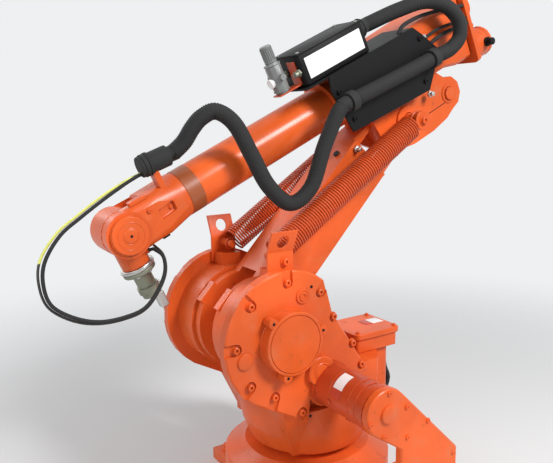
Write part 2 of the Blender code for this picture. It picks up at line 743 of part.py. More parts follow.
def make_motor(side):
    name = side_name(side)
    centre = (MOTOR_X, MOTOR_Z)
    low = HOUSING_FACE + SEAT_GAP
    end = MOTOR_END
    profile = [
        (MOTOR_FLANGE_RADIUS, low), (MOTOR_FLANGE_RADIUS, low + MOTOR_FLANGE_LENGTH),
        (MOTOR_RADIUS, low + MOTOR_FLANGE_LENGTH), (MOTOR_RADIUS, end - MOTOR_FLANGE_LENGTH),
        (MOTOR_FLANGE_RADIUS, end - MOTOR_FLANGE_LENGTH), (MOTOR_FLANGE_RADIUS, end),
    ]
    motor = turned([(radius, depth * side) for radius, depth in profile], SIDES_MEDIUM, "Y", centre)
    bite = turned([(PLUG_RADIUS + SEAT_GAP, HOUSING_FACE * side), (PLUG_RADIUS + SEAT_GAP, (low + PLUG_HEIGHT) * side)],
                  SIDES_MEDIUM, "Y", (AXIS2.x - PLUG_BACK, AXIS2.z - PLUG_DROP))
    piece(name + "_motor", "stand", cut(motor, bite), DEEP_ORANGE)

    outline = arc(centre, MOTOR_COVER_RADIUS, MOTOR_COVER_ARC_START, MOTOR_COVER_ARC_END, SIDES_SMALL)
    outline += [(MOTOR_COVER_BACK, MOTOR_COVER_BACK_TOP), (MOTOR_COVER_BACK, MOTOR_COVER_BOTTOM),
                (MOTOR_COVER_FRONT, MOTOR_COVER_BOTTOM), (MOTOR_COVER_FRONT, MOTOR_COVER_FRONT_TOP)]
    inner = end + SEAT_GAP
    outer = inner + MOTOR_COVER_THICKNESS
    plate = bevelled(prism(outline, *sided(inner, outer, side)), BOX_INSET / 2)
    span = [(MOTOR_BOSS_RADIUS, outer - OVERRUN), (MOTOR_BOSS_RADIUS, outer),
            (MOTOR_BOSS_RADIUS / 2, outer + MOTOR_BOSS_HEIGHT)]
    boss = turned([(radius, depth * side) for radius, depth in span], SIDES_SMALL, "Y", centre)
    piece(name + "_motor_cover", "stand", union(plate, boss), ORANGE)


def make_junction_box():
    low = (BOX_BACK + BOX_INSET, BOX_FAR + BOX_INSET)
    high = (BOX_FRONT - BOX_INSET, BOX_NEAR - BOX_INSET)
    top = BOX_FLOOR + BOX_DEPTH
    body = prism(rounded_rectangle(low, high, BOX_ROUNDING - BOX_INSET), BOX_FLOOR, top, "Z")
    piece("junction_box", "stand", body, ORANGE)
    outline = rounded_rectangle((BOX_BACK, BOX_FAR), (BOX_FRONT, BOX_NEAR), BOX_ROUNDING)
    lid = prism(outline, top + SEAT_GAP, top + LID_THICKNESS, "Z")
    piece("junction_lid", "stand", bevelled(lid, BOX_INSET / 3), ORANGE)


def bracket_height(share):
    """Height above the floor at a share of the spring bracket's own height."""
    return AXIS2.z + BRACKET_RISE + BRACKET_HEIGHT * share


def make_spring_bracket(side):
    inner = BRACKET_INNER
    outer = BRACKET_INNER + BRACKET_THICKNESS
    low, bend, high = (bracket_height(share) for share in (0, BRACKET_BEND_SHARE, 1))
    section = [(inner, low), (outer, low), (outer, bend), (outer + BRACKET_FLARE, high),
               (inner + BRACKET_FLARE, high), (inner, bend)]
    section = [(y * side, z) for y, z in section]
    plate = prism(section, AXIS2.x - BRACKET_HALF_LENGTH, AXIS2.x + BRACKET_HALF_LENGTH, "X")
    hole_span = sided(inner - OVERRUN, outer + BRACKET_FLARE + OVERRUN, side)
    hole = turned([(BRACKET_HOLE_RADIUS, hole_span[0]), (BRACKET_HOLE_RADIUS, hole_span[1])],
                  SIDES_SMALL, "Y", (AXIS2.x, bracket_height(BRACKET_HOLE_SHARE)))
    cut(plate, hole)
    pin_span = sided(SPRING_Y - SPRING_RADIUS / 2, inner + BRACKET_THICKNESS / 2, side)
    pin = turned([(ANCHOR_RADIUS, pin_span[0]), (ANCHOR_RADIUS, pin_span[1])], SIDES_SMALL, "Y",
                 (AXIS2.x, bracket_height(ANCHOR_SHARE)))
    piece(side_name(side) + "_spring_bracket", "stand", union(plate, pin), ORANGE)


def make_spring(side):
    """Coil from the bracket's pin to the elbow pin, as a square wire of few sides."""
    to_arm = LOWER_ARM_PLACE.inverted()
    start = to_arm @ Vector((AXIS2.x, SPRING_Y * side, bracket_height(ANCHOR_SHARE)))
    end = to_arm @ (ELBOW + Vector((0, SPRING_Y * side, 0)))
    heading = (end - start).normalized()
    first = start + heading * (ANCHOR_RADIUS + SPRING_WIRE_RADIUS + SEAT_GAP)
    last = end - heading * (ELBOW_COLLAR_RADIUS + SPRING_WIRE_RADIUS + SEAT_GAP)
    across = Vector((0, side, 0))
    normal = heading.cross(across)
    rings = []
    total = SPRING_TURNS * SPRING_STEPS
    rise = (last - first).length / total
    for index in range(total + 1):
        angle = math.tau * index / SPRING_STEPS
        outward = across * math.cos(angle) + normal * math.sin(angle)
        centre = first + heading * rise * index + outward * SPRING_RADIUS
        ring = []
        for corner in range(SPRING_WIRE_SIDES):
            turn = math.tau * corner / SPRING_WIRE_SIDES
            ring.append(centre + outward * SPRING_WIRE_RADIUS * math.cos(turn)
                        + heading * SPRING_WIRE_RADIUS * math.sin(turn))
        rings.append(ring)
    piece(side_name(side) + "_spring", "lower_arm", loft(rings), DEEP_ORANGE)


def make_lower_arm():
    quarter = math.pi / 2
    head = (0, LOWER_ARM_LENGTH)
    outline = [(-ARM_BACK, 0), (ARM_FRONT, 0), (ARM_FRONT, ARM_NARROW_FROM)]
    outline += arc(head, ARM_HEAD_RADIUS, 0, math.pi, SIDES_SMALL)
    outline += [(-ARM_BACK, ARM_NARROW_FROM)]
    limb = prism(outline, -ARM_HALF_WIDTH, ARM_HALF_WIDTH)
    hub = turned([
        (LEVER_HUB_RADIUS * 2, -HOUSING_INNER + SEAT_GAP), (LEVER_HUB_RADIUS * 2, -ARM_HUB_HALF_WIDTH),
        (ARM_HUB_RADIUS, -ARM_HUB_HALF_WIDTH + SEAT_GAP), (ARM_HUB_RADIUS, ARM_HUB_HALF_WIDTH - SEAT_GAP),
        (LEVER_HUB_RADIUS * 2, ARM_HUB_HALF_WIDTH), (LEVER_HUB_RADIUS * 2, HOUSING_INNER - SEAT_GAP),
    ], SIDES_LARGE)
    stop = box((STOP_LUG_BACK, -ARM_HALF_WIDTH, STOP_LUG_LOW), (STOP_LUG_FRONT, ARM_HALF_WIDTH, STOP_LUG_HIGH))
    union(limb, hub, stop)
    channel = box((-ARM_BACK - OVERRUN, -ARM_HALF_WIDTH + ARM_WALL, ARM_HUB_RADIUS),
                  (ARM_FRONT - ARM_WEB, ARM_HALF_WIDTH - ARM_WALL, LOWER_ARM_LENGTH - ARM_HEAD_RADIUS))
    slot_radius = ARM_HUB_RADIUS + OVERRUN
    slot = turned([(slot_radius, -FORK_HALF_GAP), (slot_radius, FORK_HALF_GAP)], SIDES_LARGE)
    stop_gap = box((0, -FORK_HALF_GAP, STOP_LUG_LOW - OVERRUN),
                   (STOP_LUG_FRONT + OVERRUN, FORK_HALF_GAP, STOP_LUG_HIGH + OVERRUN))
    sides = []
    for side in (1, -1):
        span = sided(ARM_HEAD_HALF_WIDTH, ARM_HALF_WIDTH + OVERRUN, side)
        reach = LOWER_ARM_LENGTH + ARM_HEAD_RADIUS + OVERRUN
        sides.append(box((-ARM_FRONT * 2, span[0], ARM_NARROW_FROM + OVERRUN), (ARM_FRONT * 2, span[1], reach)))
    bore = turned([(ELBOW_PIN_RADIUS + RUNNING_GAP, -ARM_HALF_WIDTH), (ELBOW_PIN_RADIUS + RUNNING_GAP, ARM_HALF_WIDTH)],
                  SIDES_MEDIUM, "Y", head)
    shaft = turned([(LEVER_SHAFT_RADIUS + RUNNING_GAP, -HOUSING_INNER), (LEVER_SHAFT_RADIUS + RUNNING_GAP, 0)],
                   SIDES_MEDIUM)
    rod_space = box((-ARM_HEAD_RADIUS - OVERRUN, -ROD_SPACE_HALF_WIDTH, ARM_HUB_RADIUS),
                    (-ROD_SPACE, ROD_SPACE_HALF_WIDTH, LOWER_ARM_LENGTH + ARM_HEAD_RADIUS + OVERRUN))
    cut(limb, channel, slot, stop_gap, bore, shaft, rod_space, *sides)
    piece("lower_arm_casting", "lower_arm", limb, ORANGE)


def make_linkage():
    hub = turned([(LEVER_HUB_RADIUS, -LEVER_HALF_WIDTH), (LEVER_HUB_RADIUS, LEVER_HALF_WIDTH)], SIDES_MEDIUM)
    outline = belt_outline((0, 0), LEVER_HUB_RADIUS - RUNNING_GAP, (-LINK_LENGTH, 0), LEVER_END_RADIUS, SIDES_SMALL)
    arm = prism(outline, -LEVER_HALF_WIDTH + RUNNING_GAP, LEVER_HALF_WIDTH - RUNNING_GAP)
    shaft = turned([(LEVER_SHAFT_RADIUS, -HOUSING_INNER + SEAT_GAP), (LEVER_SHAFT_RADIUS, 0)], SIDES_MEDIUM)
    union(hub, arm, shaft)
    gap_half = ROD_RADIUS + RUNNING_GAP * 3
    gap_radius = ROD_EYE_RADIUS + OVERRUN
    gap = box((-LINK_LENGTH - gap_radius, -gap_half, -gap_radius), (-LEVER_HUB_RADIUS - OVERRUN, gap_half, gap_radius))
    cut(hub, gap)
    span = LEVER_HALF_WIDTH - RUNNING_GAP * 2
    pin = turned([(LINK_PIN_RADIUS, -span), (LINK_PIN_RADIUS, span)], SIDES_SMALL, "Y", (-LINK_LENGTH, 0))
    piece("lever", "lever", union(hub, pin), ORANGE)

    rod = prism(circle((0, 0), ROD_RADIUS, SIDES_SMALL), -LOWER_ARM_LENGTH, 0, "Z")
    for height in (0, -LOWER_ARM_LENGTH):
        eye = turned([(ROD_EYE_RADIUS, -ROD_HALF_WIDTH), (ROD_EYE_RADIUS, ROD_HALF_WIDTH)],
                     SIDES_MEDIUM, "Y", (0, height))
        union(rod, eye)
    trims = []
    for side in (1, -1):
        span = sided(ROD_HALF_WIDTH, ROD_RADIUS * 2, side)
        for height in (0, -LOWER_ARM_LENGTH):
            trims.append(box((-ROD_EYE_RADIUS * 2, span[0], height - gap_radius - OVERRUN),
                             (ROD_EYE_RADIUS * 2, span[1], height + gap_radius + OVERRUN)))
    bores = []
    for height, radius in ((0, LINK_PIN_RADIUS + RUNNING_GAP), (-LOWER_ARM_LENGTH, LINK_PIN_RADIUS + OPEN_PIVOT_GAP)):
        bores.append(turned([(radius, -ROD_RADIUS * 2), (radius, ROD_RADIUS * 2)], SIDES_MEDIUM, "Y", (0, height)))
    cut(rod, *trims, *bores)
    piece("parallel_rod", "rod", rod, ORANGE)

    head_low = CHEEK_OUTER + SEAT_GAP
    head_high = head_low + ROD_PIN_HEAD_HEIGHT
    pin = turned([
        (ROD_PIN_HEAD_RADIUS, -head_high), (ROD_PIN_HEAD_RADIUS, -head_low), (LINK_PIN_RADIUS, -head_low),
        (LINK_PIN_RADIUS, head_low), (ROD_PIN_HEAD_RADIUS, head_low), (ROD_PIN_HEAD_RADIUS, head_high),
    ], SIDES_SMALL)
    piece("rod_pin", "rod_pin", pin, STEEL)

    end = ELBOW_PIN_END
    collar = end - ELBOW_COLLAR_WIDTH
    pin = turned([
        (ELBOW_COLLAR_RADIUS, -end), (ELBOW_COLLAR_RADIUS, -collar), (ELBOW_PIN_RADIUS, -collar),
        (ELBOW_PIN_RADIUS, collar), (ELBOW_COLLAR_RADIUS, collar), (ELBOW_COLLAR_RADIUS, end),
    ], SIDES_MEDIUM)
    piece("elbow_pin", "elbow_pin", pin, ORANGE)


def make_upper_arm():
    cheek = [(CHEEK_REACH * x, CHEEK_REACH * z) for x, z in CHEEK_SHARES]
    ear = arc((-LINK_LENGTH, 0), EAR_RADIUS, -math.pi / 2, -math.pi * 3 / 2, SIDES_SMALL // 2)
    outline = cheek + ear + [(CHEEK_REACH * CHEEK_BACK_SHARES[0], CHEEK_REACH * CHEEK_BACK_SHARES[1])]
    body_outline = [(BODY_FRONT, BODY_BOTTOM), (BODY_FRONT, BODY_TOP - OVERRUN), (BODY_FRONT - OVERRUN, BODY_TOP),
                    (REAR_PLATE_BACK + REAR_PLATE_THICKNESS * 2, REAR_PLATE_HIGH - OVERRUN),
                    (REAR_PLATE_BACK + REAR_PLATE_THICKNESS + SEAT_GAP, REAR_PLATE_HIGH - OVERRUN),
                    (REAR_PLATE_BACK + REAR_PLATE_THICKNESS + SEAT_GAP, REAR_PLATE_LOW + OVERRUN * 2),
                    (-LINK_LENGTH - EAR_RADIUS, REAR_PLATE_LOW + OVERRUN * 2), (-LINK_LENGTH, BODY_BOTTOM)]
    body = bevelled(prism(body_outline, -BODY_HALF_WIDTH, BODY_HALF_WIDTH), OVERRUN)
    neck = turned([(NECK_RADIUS, 0), (NECK_RADIUS, NECK_FRONT)], SIDES_MEDIUM, "X", (0, AXIS4_OFFSET))
    cheeks = [prism(outline, *sided(CHEEK_INNER, CHEEK_OUTER, side)) for side in (1, -1)]
    standoffs = []
    for x in (CONTROL_BACK * 2, -CONTROL_BACK):
        standoffs.append(turned([(STANDOFF_RADIUS, 0), (STANDOFF_RADIUS, PANEL_INNER - SEAT_GAP)],
                                SIDES_SMALL, "Y", (x, AXIS4_OFFSET)))
    union(body, neck, *cheeks, *standoffs)
    bores = []
    for x, radius in ((0, ELBOW_PIN_RADIUS), (-LINK_LENGTH, LINK_PIN_RADIUS)):
        bores.append(turned([(radius + RUNNING_GAP, -BODY_HALF_WIDTH), (radius + RUNNING_GAP, BODY_HALF_WIDTH)],
                            SIDES_MEDIUM, "Y", (x, 0)))
    cut(body, *bores)
    piece("upper_arm_housing", "upper_arm", body, ORANGE)

    front = REAR_PLATE_BACK + REAR_PLATE_THICKNESS
    outline = rounded_rectangle((-REAR_PLATE_HALF_WIDTH, REAR_PLATE_LOW), (REAR_PLATE_HALF_WIDTH, REAR_PLATE_HIGH),
                                BOX_ROUNDING)
    piece("rear_motor_plate", "upper_arm", prism(outline, REAR_PLATE_BACK, front, "X"), ORANGE)
    places = (("axis_4_motor", 0, REAR_MOTOR_HIGH), ("axis_5_motor", REAR_MOTOR_SPREAD, REAR_MOTOR_LOW),
              ("axis_6_motor", -REAR_MOTOR_SPREAD, REAR_MOTOR_LOW))
    for name, y, z in places:
        low = REAR_PLATE_BACK - SEAT_GAP
        back = low - REAR_MOTOR_LENGTH
        motor = turned([(REAR_MOTOR_RADIUS, low), (REAR_MOTOR_RADIUS, back + REAR_MOTOR_CHAMFER),
                        (REAR_MOTOR_RADIUS - REAR_MOTOR_CHAMFER, back)], SIDES_MEDIUM, "X", (y, z))
        piece(name, "upper_arm", motor, ORANGE)


def make_panel():
    outline = [(PANEL_REACH * x, SHELF_HEIGHT * z) for x, z in PANEL_SHARES]
    panel = prism(outline, PANEL_INNER, PANEL_INNER + PANEL_THICKNESS)
    shelf = box((-SHELF_BACK, SHELF_FAR, SHELF_HEIGHT - PANEL_THICKNESS),
                (SHELF_FRONT, PANEL_INNER + PANEL_THICKNESS / 2, SHELF_HEIGHT))
    piece("side_panel", "upper_arm", union(panel, shelf), BLACK)

    low = SHELF_HEIGHT + SEAT_GAP
    high = low + CONTROL_HEIGHT
    case = box((CONTROL_BACK, 0, low), (CONTROL_FRONT, CONTROL_NEAR, high))
    piece("control_box", "upper_arm", bevelled(case, CONTROL_ROUNDING, 2), BLACK)
    label = box((CONTROL_BACK + LABEL_BORDER, CONTROL_NEAR + SEAT_GAP, low + LABEL_BORDER),
                (CONTROL_FRONT - LABEL_BORDER, CONTROL_NEAR + SEAT_GAP + LABEL_THICKNESS, high - LABEL_BORDER))
    piece("blank_plate", "upper_arm", label, WHITE)
    gland_end = CONTROL_BACK - SEAT_GAP
    gland = turned([(GLAND_RADIUS, gland_end), (GLAND_RADIUS, gland_end - GLAND_LENGTH)], SIDES_SMALL, "X",
                   (GLAND_Y, GLAND_HEIGHT))
    piece("box_gland", "upper_arm", gland, BLACK)

    half = REGULATOR_BRACKET_HALF_WIDTH
    thick = REGULATOR_BRACKET_THICKNESS
    face = CONTROL_FRONT + SEAT_GAP
    leg = box((face, REGULATOR_Y - half, REGULATOR_BASE - thick), (face + thick, REGULATOR_Y + half, high - LABEL_BORDER))
    arm = box((face + thick / 2, REGULATOR_Y - half, REGULATOR_BASE - thick),
              (REGULATOR_X + REGULATOR_RADIUS, REGULATOR_Y + half, REGULATOR_BASE))
    piece("regulator_bracket", "upper_arm", union(leg, arm), DEEP_ORANGE)
    body_low = REGULATOR_BASE + SEAT_GAP
    body_high = body_low + REGULATOR_BODY_HEIGHT
    body = turned([
        (REGULATOR_PORT_RADIUS * 2, body_low), (REGULATOR_RADIUS, body_low + OVERRUN),
        (REGULATOR_RADIUS, body_high - OVERRUN), (REGULATOR_KNOB_RADIUS, body_high),
    ], SIDES_SMALL, "Z", (REGULATOR_X, REGULATOR_Y))
    ports = []
    middle = (body_low + body_high) / 2
    for side in (1, -1):
        span = sided(0, REGULATOR_PORT_LENGTH, side)
        ports.append(turned([(REGULATOR_PORT_RADIUS, REGULATOR_Y + span[0]), (REGULATOR_PORT_RADIUS, REGULATOR_Y + span[1])],
                            SIDES_SMALL, "Y", (REGULATOR_X, middle)))
    piece("regulator_body", "upper_arm", union(body, *ports), PALE_GREY)
    knob_low = body_high + SEAT_GAP
    knob = turned([(REGULATOR_KNOB_RADIUS, knob_low), (REGULATOR_KNOB_RADIUS, knob_low + REGULATOR_KNOB_HEIGHT)],
                  SIDES_SMALL, "Z", (REGULATOR_X, REGULATOR_Y))
    piece("regulator_knob", "upper_arm", knob, PALE_GREY)


def wrist_solid(grow=0):
    """Wrist casting before its slot is cut: round at the tube, a box with a round end at the wrist."""
    sides = SIDES_MEDIUM
    angles = [math.tau * index / sides for index in range(sides)]

    def ring(x, near, far, half_height, power):
        points = []
        for angle in angles:
            c, s = math.cos(angle), math.sin(angle)
            reach = (near + far) / 2 * math.copysign(abs(c) ** power, c)
            points.append((x, (near - far) / 2 + reach, half_height * math.copysign(abs(s) ** power, s)))
        return points

    start = WRIST_CASTING_BACK + SEAT_GAP
    tube = TUBE_RADIUS + grow
    near = WRIST_NEAR + grow
    far = WRIST_FAR + grow
    casting = loft([
        ring(start, tube, tube, tube, 1),
        ring(start + OVERRUN, tube, tube, tube, 0.9),
        ring(WRIST_SHOULDER, near, far, WRIST_HALF_HEIGHT + grow, 0.45),
        ring(FOREARM_REACH - OVERRUN, near, far, WRIST_CHEEK_RADIUS + grow, 0.3),
    ])
    end = turned([(WRIST_CHEEK_RADIUS + grow, -far), (WRIST_CHEEK_RADIUS + grow, near)], SIDES_LARGE, "Y",
                 (FOREARM_REACH, 0))
    return union(casting, end)


def make_forearm():
    low = NECK_FRONT + SEAT_GAP
    tube = turned([(TUBE_RADIUS, low), (TUBE_RADIUS, WRIST_CASTING_BACK)], SIDES_MEDIUM, "X")
    piece("forearm_tube", "forearm", tube, ORANGE)

    casting = wrist_solid()
    pad_low = FRONT_GLAND_X + GLAND_PAD_START
    pad = box((pad_low, FRONT_GLAND_Y - GLAND_PAD_HALF_WIDTH, 0),
              (pad_low + GLAND_PAD_LENGTH, FRONT_GLAND_Y + GLAND_PAD_HALF_WIDTH, FRONT_GLAND_Z))
    union(casting, pad)
    slot = [(FOREARM_REACH + WRIST_SLOT_REACH * x, WRIST_SLOT_REACH * z) for x, z in WRIST_SLOT_SHARES]
    bore_radius = WRIST_PIN_RADIUS + RUNNING_GAP
    bore = turned([(bore_radius, -WRIST_PIN_FAR - RUNNING_GAP), (bore_radius, WRIST_PIN_NEAR + RUNNING_GAP)],
                  SIDES_MEDIUM, "Y", (FOREARM_REACH, 0))
    seat = turned([(FRONT_GLAND_RADIUS + SEAT_GAP, -OVERRUN), (FRONT_GLAND_RADIUS + SEAT_GAP, FRONT_GLAND_LENGTH + OVERRUN)],
                  SIDES_MEDIUM, "Z")
    moved(seat, wrist_gland_place())
    cut(casting, prism(slot, -WRIST_SLOT_FAR, WRIST_SLOT_NEAR), bore, seat)
    piece("wrist_fork", "forearm", casting, ORANGE)
    for side, face, disc in ((1, WRIST_NEAR, WRIST_COVER_RADIUS), (-1, WRIST_FAR, FAR_COVER_RADIUS)):
        low = face + SEAT_GAP
        high = low + WRIST_COVER_HEIGHT
        span = [(disc, low), (disc - OVERRUN / 4, high),
                (WRIST_RING_RADIUS, high), (WRIST_RING_RADIUS - OVERRUN / 4, high + OVERRUN / 4)]
        cover = turned([(radius, depth * side) for radius, depth in span], SIDES_MEDIUM, "Y", (FOREARM_REACH, 0))
        piece(side_name(side) + "_wrist_cover", "forearm", cover, ORANGE)

    gland = turned([(FRONT_GLAND_RADIUS, 0), (FRONT_GLAND_RADIUS, FRONT_GLAND_LENGTH)], SIDES_MEDIUM, "Z")
    piece("wrist_gland", "forearm", moved(gland, wrist_gland_place()), BLACK)


def make_wrist():
    near = WRIST_SLOT_NEAR - RUNNING_GAP
    far = WRIST_SLOT_FAR - RUNNING_GAP
    body = turned([
        (WRIST_PIN_RADIUS, -WRIST_PIN_FAR), (WRIST_PIN_RADIUS, -far),
        (WRIST_BODY_RADIUS, -far), (WRIST_BODY_RADIUS, near),
        (WRIST_PIN_RADIUS, near), (WRIST_PIN_RADIUS, WRIST_PIN_NEAR),
    ], SIDES_MEDIUM)
    neck = turned([(WRIST_NECK_RADIUS, 0), (WRIST_NECK_RADIUS, WRIST_NECK_END)], SIDES_MEDIUM, "Z")
    sockets = []
    for angle in (SIGNAL_SOCKET_ANGLE, EARTH_SOCKET_ANGLE):
        socket = turned([(SOCKET_RADIUS, 0), (SOCKET_RADIUS, SOCKET_REACH)], SIDES_SMALL, "X", (0, SOCKET_HEIGHT))
        sockets.append(moved(socket, Matrix.Rotation(angle, 4, "Z")))
    piece("wrist_body", "wrist", union(body, neck, *sockets), ORANGE)
    low = WRIST_NECK_END + SEAT_GAP
    flange = turned([(FLANGE_RADIUS, low), (FLANGE_RADIUS, WRIST_REACH)], SIDES_MEDIUM, "Z")
    piece("tool_flange", "tool_flange", flange, STEEL)
    low = WRIST_REACH + SEAT_GAP
    adaptor = turned([
        (FLANGE_RADIUS - SEAT_GAP, low), (FLANGE_RADIUS - SEAT_GAP, low + ADAPTOR_PLATE_THICKNESS),
        (ADAPTOR_RADIUS, low + ADAPTOR_PLATE_THICKNESS), (ADAPTOR_RADIUS, ADAPTOR_END),
    ], SIDES_MEDIUM, "Z")
    piece("tool_adaptor", "tool_flange", adaptor, OLIVE_GREY)
    low = ADAPTOR_END + SEAT_GAP
    half = TOOL_BLOCK_LENGTH / 2
    block = box((TOOL_BLOCK_OFFSET - half, -TOOL_BLOCK_WIDTH / 2, low),
                (TOOL_BLOCK_OFFSET + half, TOOL_BLOCK_WIDTH / 2, low + TOOL_BLOCK_HEIGHT))
    piece("tool_block", "tool_flange", bevelled(block, RUNNING_GAP * 4), STEEL)


def clamp(name, body, centre, heading, foot_y):
    """Ring round the hose with a foot that stands on the panel."""
    turn = Vector((0, 0, 1)).rotation_difference(heading).to_matrix().to_4x4()
    half = CLAMP_WIDTH / 2
    ring = turned([(CLAMP_RADIUS, -half), (CLAMP_RADIUS, half)], SIDES_MEDIUM, "Z")
    moved(ring, Matrix.Translation(centre) @ turn)
    foot_half = CLAMP_FOOT_HALF_WIDTH
    foot = box((centre.x - foot_half, foot_y, centre.z - foot_half),
               (centre.x + foot_half, centre.y, centre.z + foot_half))
    hole = turned([(HOSE_RADIUS + SEAT_GAP, -CLAMP_WIDTH), (HOSE_RADIUS + SEAT_GAP, CLAMP_WIDTH)], SIDES_MEDIUM, "Z")
    moved(hole, Matrix.Translation(centre) @ turn)
    piece(name, body, cut(union(ring, foot), hole), BLACK)


def make_hose():
    """Feed hose from the control box, through two clamps, over the wrist in a free loop."""
    panel_face = PANEL_INNER + PANEL_THICKNESS + SEAT_GAP
    front = Vector(FRONT_CLAMP)
    front_heading = Vector(FRONT_CLAMP_HEADING).normalized()
    rear = Vector(REAR_CLAMP)
    rear_heading = Vector(REAR_CLAMP_HEADING).normalized()
    clamp("front_hose_clamp", "upper_arm", front, front_heading, panel_face)
    clamp("rear_hose_clamp", "upper_arm", rear, rear_heading, panel_face)
    gland = Vector((CONTROL_BACK - SEAT_GAP * 2 - GLAND_LENGTH, GLAND_Y, GLAND_HEIGHT))
    end = front + front_heading * CLAMP_WIDTH * CLAMP_END_SHARE
    cord("hose_upper", "upper_arm", [
        [gland],
        [gland - Vector((STRAIGHT_RUN, 0, 0)), (-0.050, 0.078, 0.246), (-0.115, 0.102, 0.238),
         (-0.164, 0.110, 0.207), (-0.185, 0.115, 0.165), (-0.171, 0.118, 0.130), (-0.132, 0.119, 0.117),
         rear - rear_heading * CLAMP_WIDTH],
        [rear + rear_heading * CLAMP_WIDTH, (0.005, 0.121, 0.1245), (0.100, 0.121, 0.130),
         front - front_heading * CLAMP_WIDTH],
        [end],
    ], HOSE_RADIUS, HOSE_BLACK, 3)
    drop = Vector((0, 0, AXIS4_OFFSET))
    heading = wrist_gland_heading()
    tip = wrist_gland_place() @ Vector((0, 0, -SEAT_GAP))
    start = end + front_heading * SEAT_GAP - drop
    loop = [(0.230, 0.118, 0.005), (0.282, 0.108, -0.044), (0.340, 0.098, -0.106), (0.398, 0.092, -0.114),
            (0.428, 0.090, -0.056), (0.434, 0.088, 0.018), (0.438, 0.082, 0.088), (0.458, 0.072, 0.125),
            (0.486, 0.062, 0.127), (0.510, 0.053, 0.116), (0.534, 0.042, 0.098)]
    cord("hose_loop", "forearm", [
        [start],
        [start + front_heading * STRAIGHT_RUN, *loop, tip - heading * STRAIGHT_RUN],
        [tip],
    ], HOSE_RADIUS, HOSE_BLACK, 3, HOSE_SPACING_DIAMETERS)


def wrist_gland_place():
    """Place of the wrist's gland, whose own +Z runs forward from its hose end."""
    corner = Vector((FRONT_GLAND_X, FRONT_GLAND_Y, FRONT_GLAND_Z))
    return Matrix.Translation(corner) @ turned_about_y(math.pi / 2 - FRONT_GLAND_RISE)


def wrist_gland_heading():
    return (wrist_gland_place().to_3x3() @ Vector((0, 0, 1))).normalized()


def wire_exit(offset):
    """Where a thin wire leaves the front of the wrist's gland."""
    return wrist_gland_place() @ Vector((WIRE_EXIT_DROP, offset, FRONT_GLAND_LENGTH + SEAT_GAP))


def socket_tip(angle):
    """End of a cable socket on the wrist's neck, in the forearm's frame."""
    place = FOREARM_PLACE.inverted() @ FLANGE_PLACE
    outward = Vector((math.cos(angle), math.sin(angle), 0))
    tip = place @ (outward * (SOCKET_REACH + SEAT_GAP) + Vector((0, 0, SOCKET_HEIGHT)))
    return tip, (place.to_3x3() @ outward).normalized()


def make_wrist_cables():
    """Signal cable and earth wire from the wrist gland to sockets on the wrist's neck."""
    signal = [(0.674, 0.035, 0.082), (0.726, 0.040, 0.078), (0.780, 0.047, 0.072), (0.827, 0.053, 0.064),
              (0.872, 0.058, 0.039), (0.895, 0.062, 0.006), (0.902, 0.066, -0.034), (0.880, 0.068, -0.076),
              (0.846, 0.068, -0.109), (0.803, 0.068, -0.129), (0.762, 0.066, -0.137), (0.723, 0.063, -0.1225),
              (0.693, 0.058, -0.101), (0.678, 0.046, -0.076)]
    earth = [(0.674, 0.024, 0.088), (0.726, 0.030, 0.086), (0.780, 0.037, 0.081), (0.830, 0.043, 0.073),
             (0.880, 0.048, 0.047), (0.906, 0.052, 0.009), (0.913, 0.056, -0.037), (0.889, 0.058, -0.084),
             (0.852, 0.058, -0.118), (0.805, 0.058, -0.139), (0.760, 0.056, -0.147), (0.716, 0.052, -0.131),
             (0.684, 0.044, -0.107), (0.669, 0.026, -0.080)]
    runs = (("signal_cable", signal, SIGNAL_RADIUS, BLACK, SIGNAL_EXIT_OFFSET, SIGNAL_SOCKET_ANGLE),
            ("earth_wire", earth, EARTH_RADIUS, YELLOW_GREEN, EARTH_EXIT_OFFSET, EARTH_SOCKET_ANGLE))
    for name, route, radius, finish, offset, angle in runs:
        start = wire_exit(offset)
        tip, outward = socket_tip(angle)
        cord(name, "forearm", [
            [start], [start + wrist_gland_heading() * OVERRUN, *route, tip + outward * OVERRUN], [tip],
        ], radius, finish, 2, THIN_CORD_SPACING_DIAMETERS)


def make_drop_cables():
    """Cables from the junction box down into the back of the stand."""
    for name, y in (("near_drop_cable", DROP_CABLE_Y + DROP_CABLE_PITCH), ("far_drop_cable", DROP_CABLE_Y)):
        top = Vector((DROP_CABLE_X, y, BOX_FLOOR - SEAT_GAP))
        tip = Vector((-PILLAR_BACK - DROP_BOSS_HEIGHT - SEAT_GAP, y, DROP_BOSS_Z))
        out = Vector((-OVERRUN, 0, 0))
        down = Vector((0, 0, -OVERRUN))
        route = [top + down, Vector((DROP_CABLE_X - OVERRUN / 2, y, (BOX_FLOOR + DROP_BOSS_Z) / 2)),
                 tip + out * 2 - down * 3, tip + out]
        cord(name, "stand", [[top], route, [tip]], DROP_CABLE_RADIUS, BLACK)


def main():
    clear_scene()
    make_bodies()
    make_base()
    make_stand()
    for side in (1, -1):
        make_housing(side)
        make_motor(side)
        make_spring_bracket(side)
        make_spring(side)
    make_junction_box()
    make_lower_arm()
    make_linkage()
    make_upper_arm()
    make_panel()
    make_forearm()
    make_wrist()
    make_hose()
    make_wrist_cables()
    make_drop_cables()
    bpy.context.view_layer.update()


main()
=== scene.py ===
"""Looks of a six-axis robot arm with a parallel linkage, two balance springs and a feed hose.

Every size is in metres. The hull pieces are copies of the frame's nodes with softened
edges. Screws, springs, hose, cables and plates are modelled here, each in the own frame of
the body that carries it.
"""

import json
import logging
import math
from dataclasses import dataclass, field
from enum import Enum
from typing import NamedTuple, Sequence

import bmesh
import bpy
from mathutils import Matrix, Vector

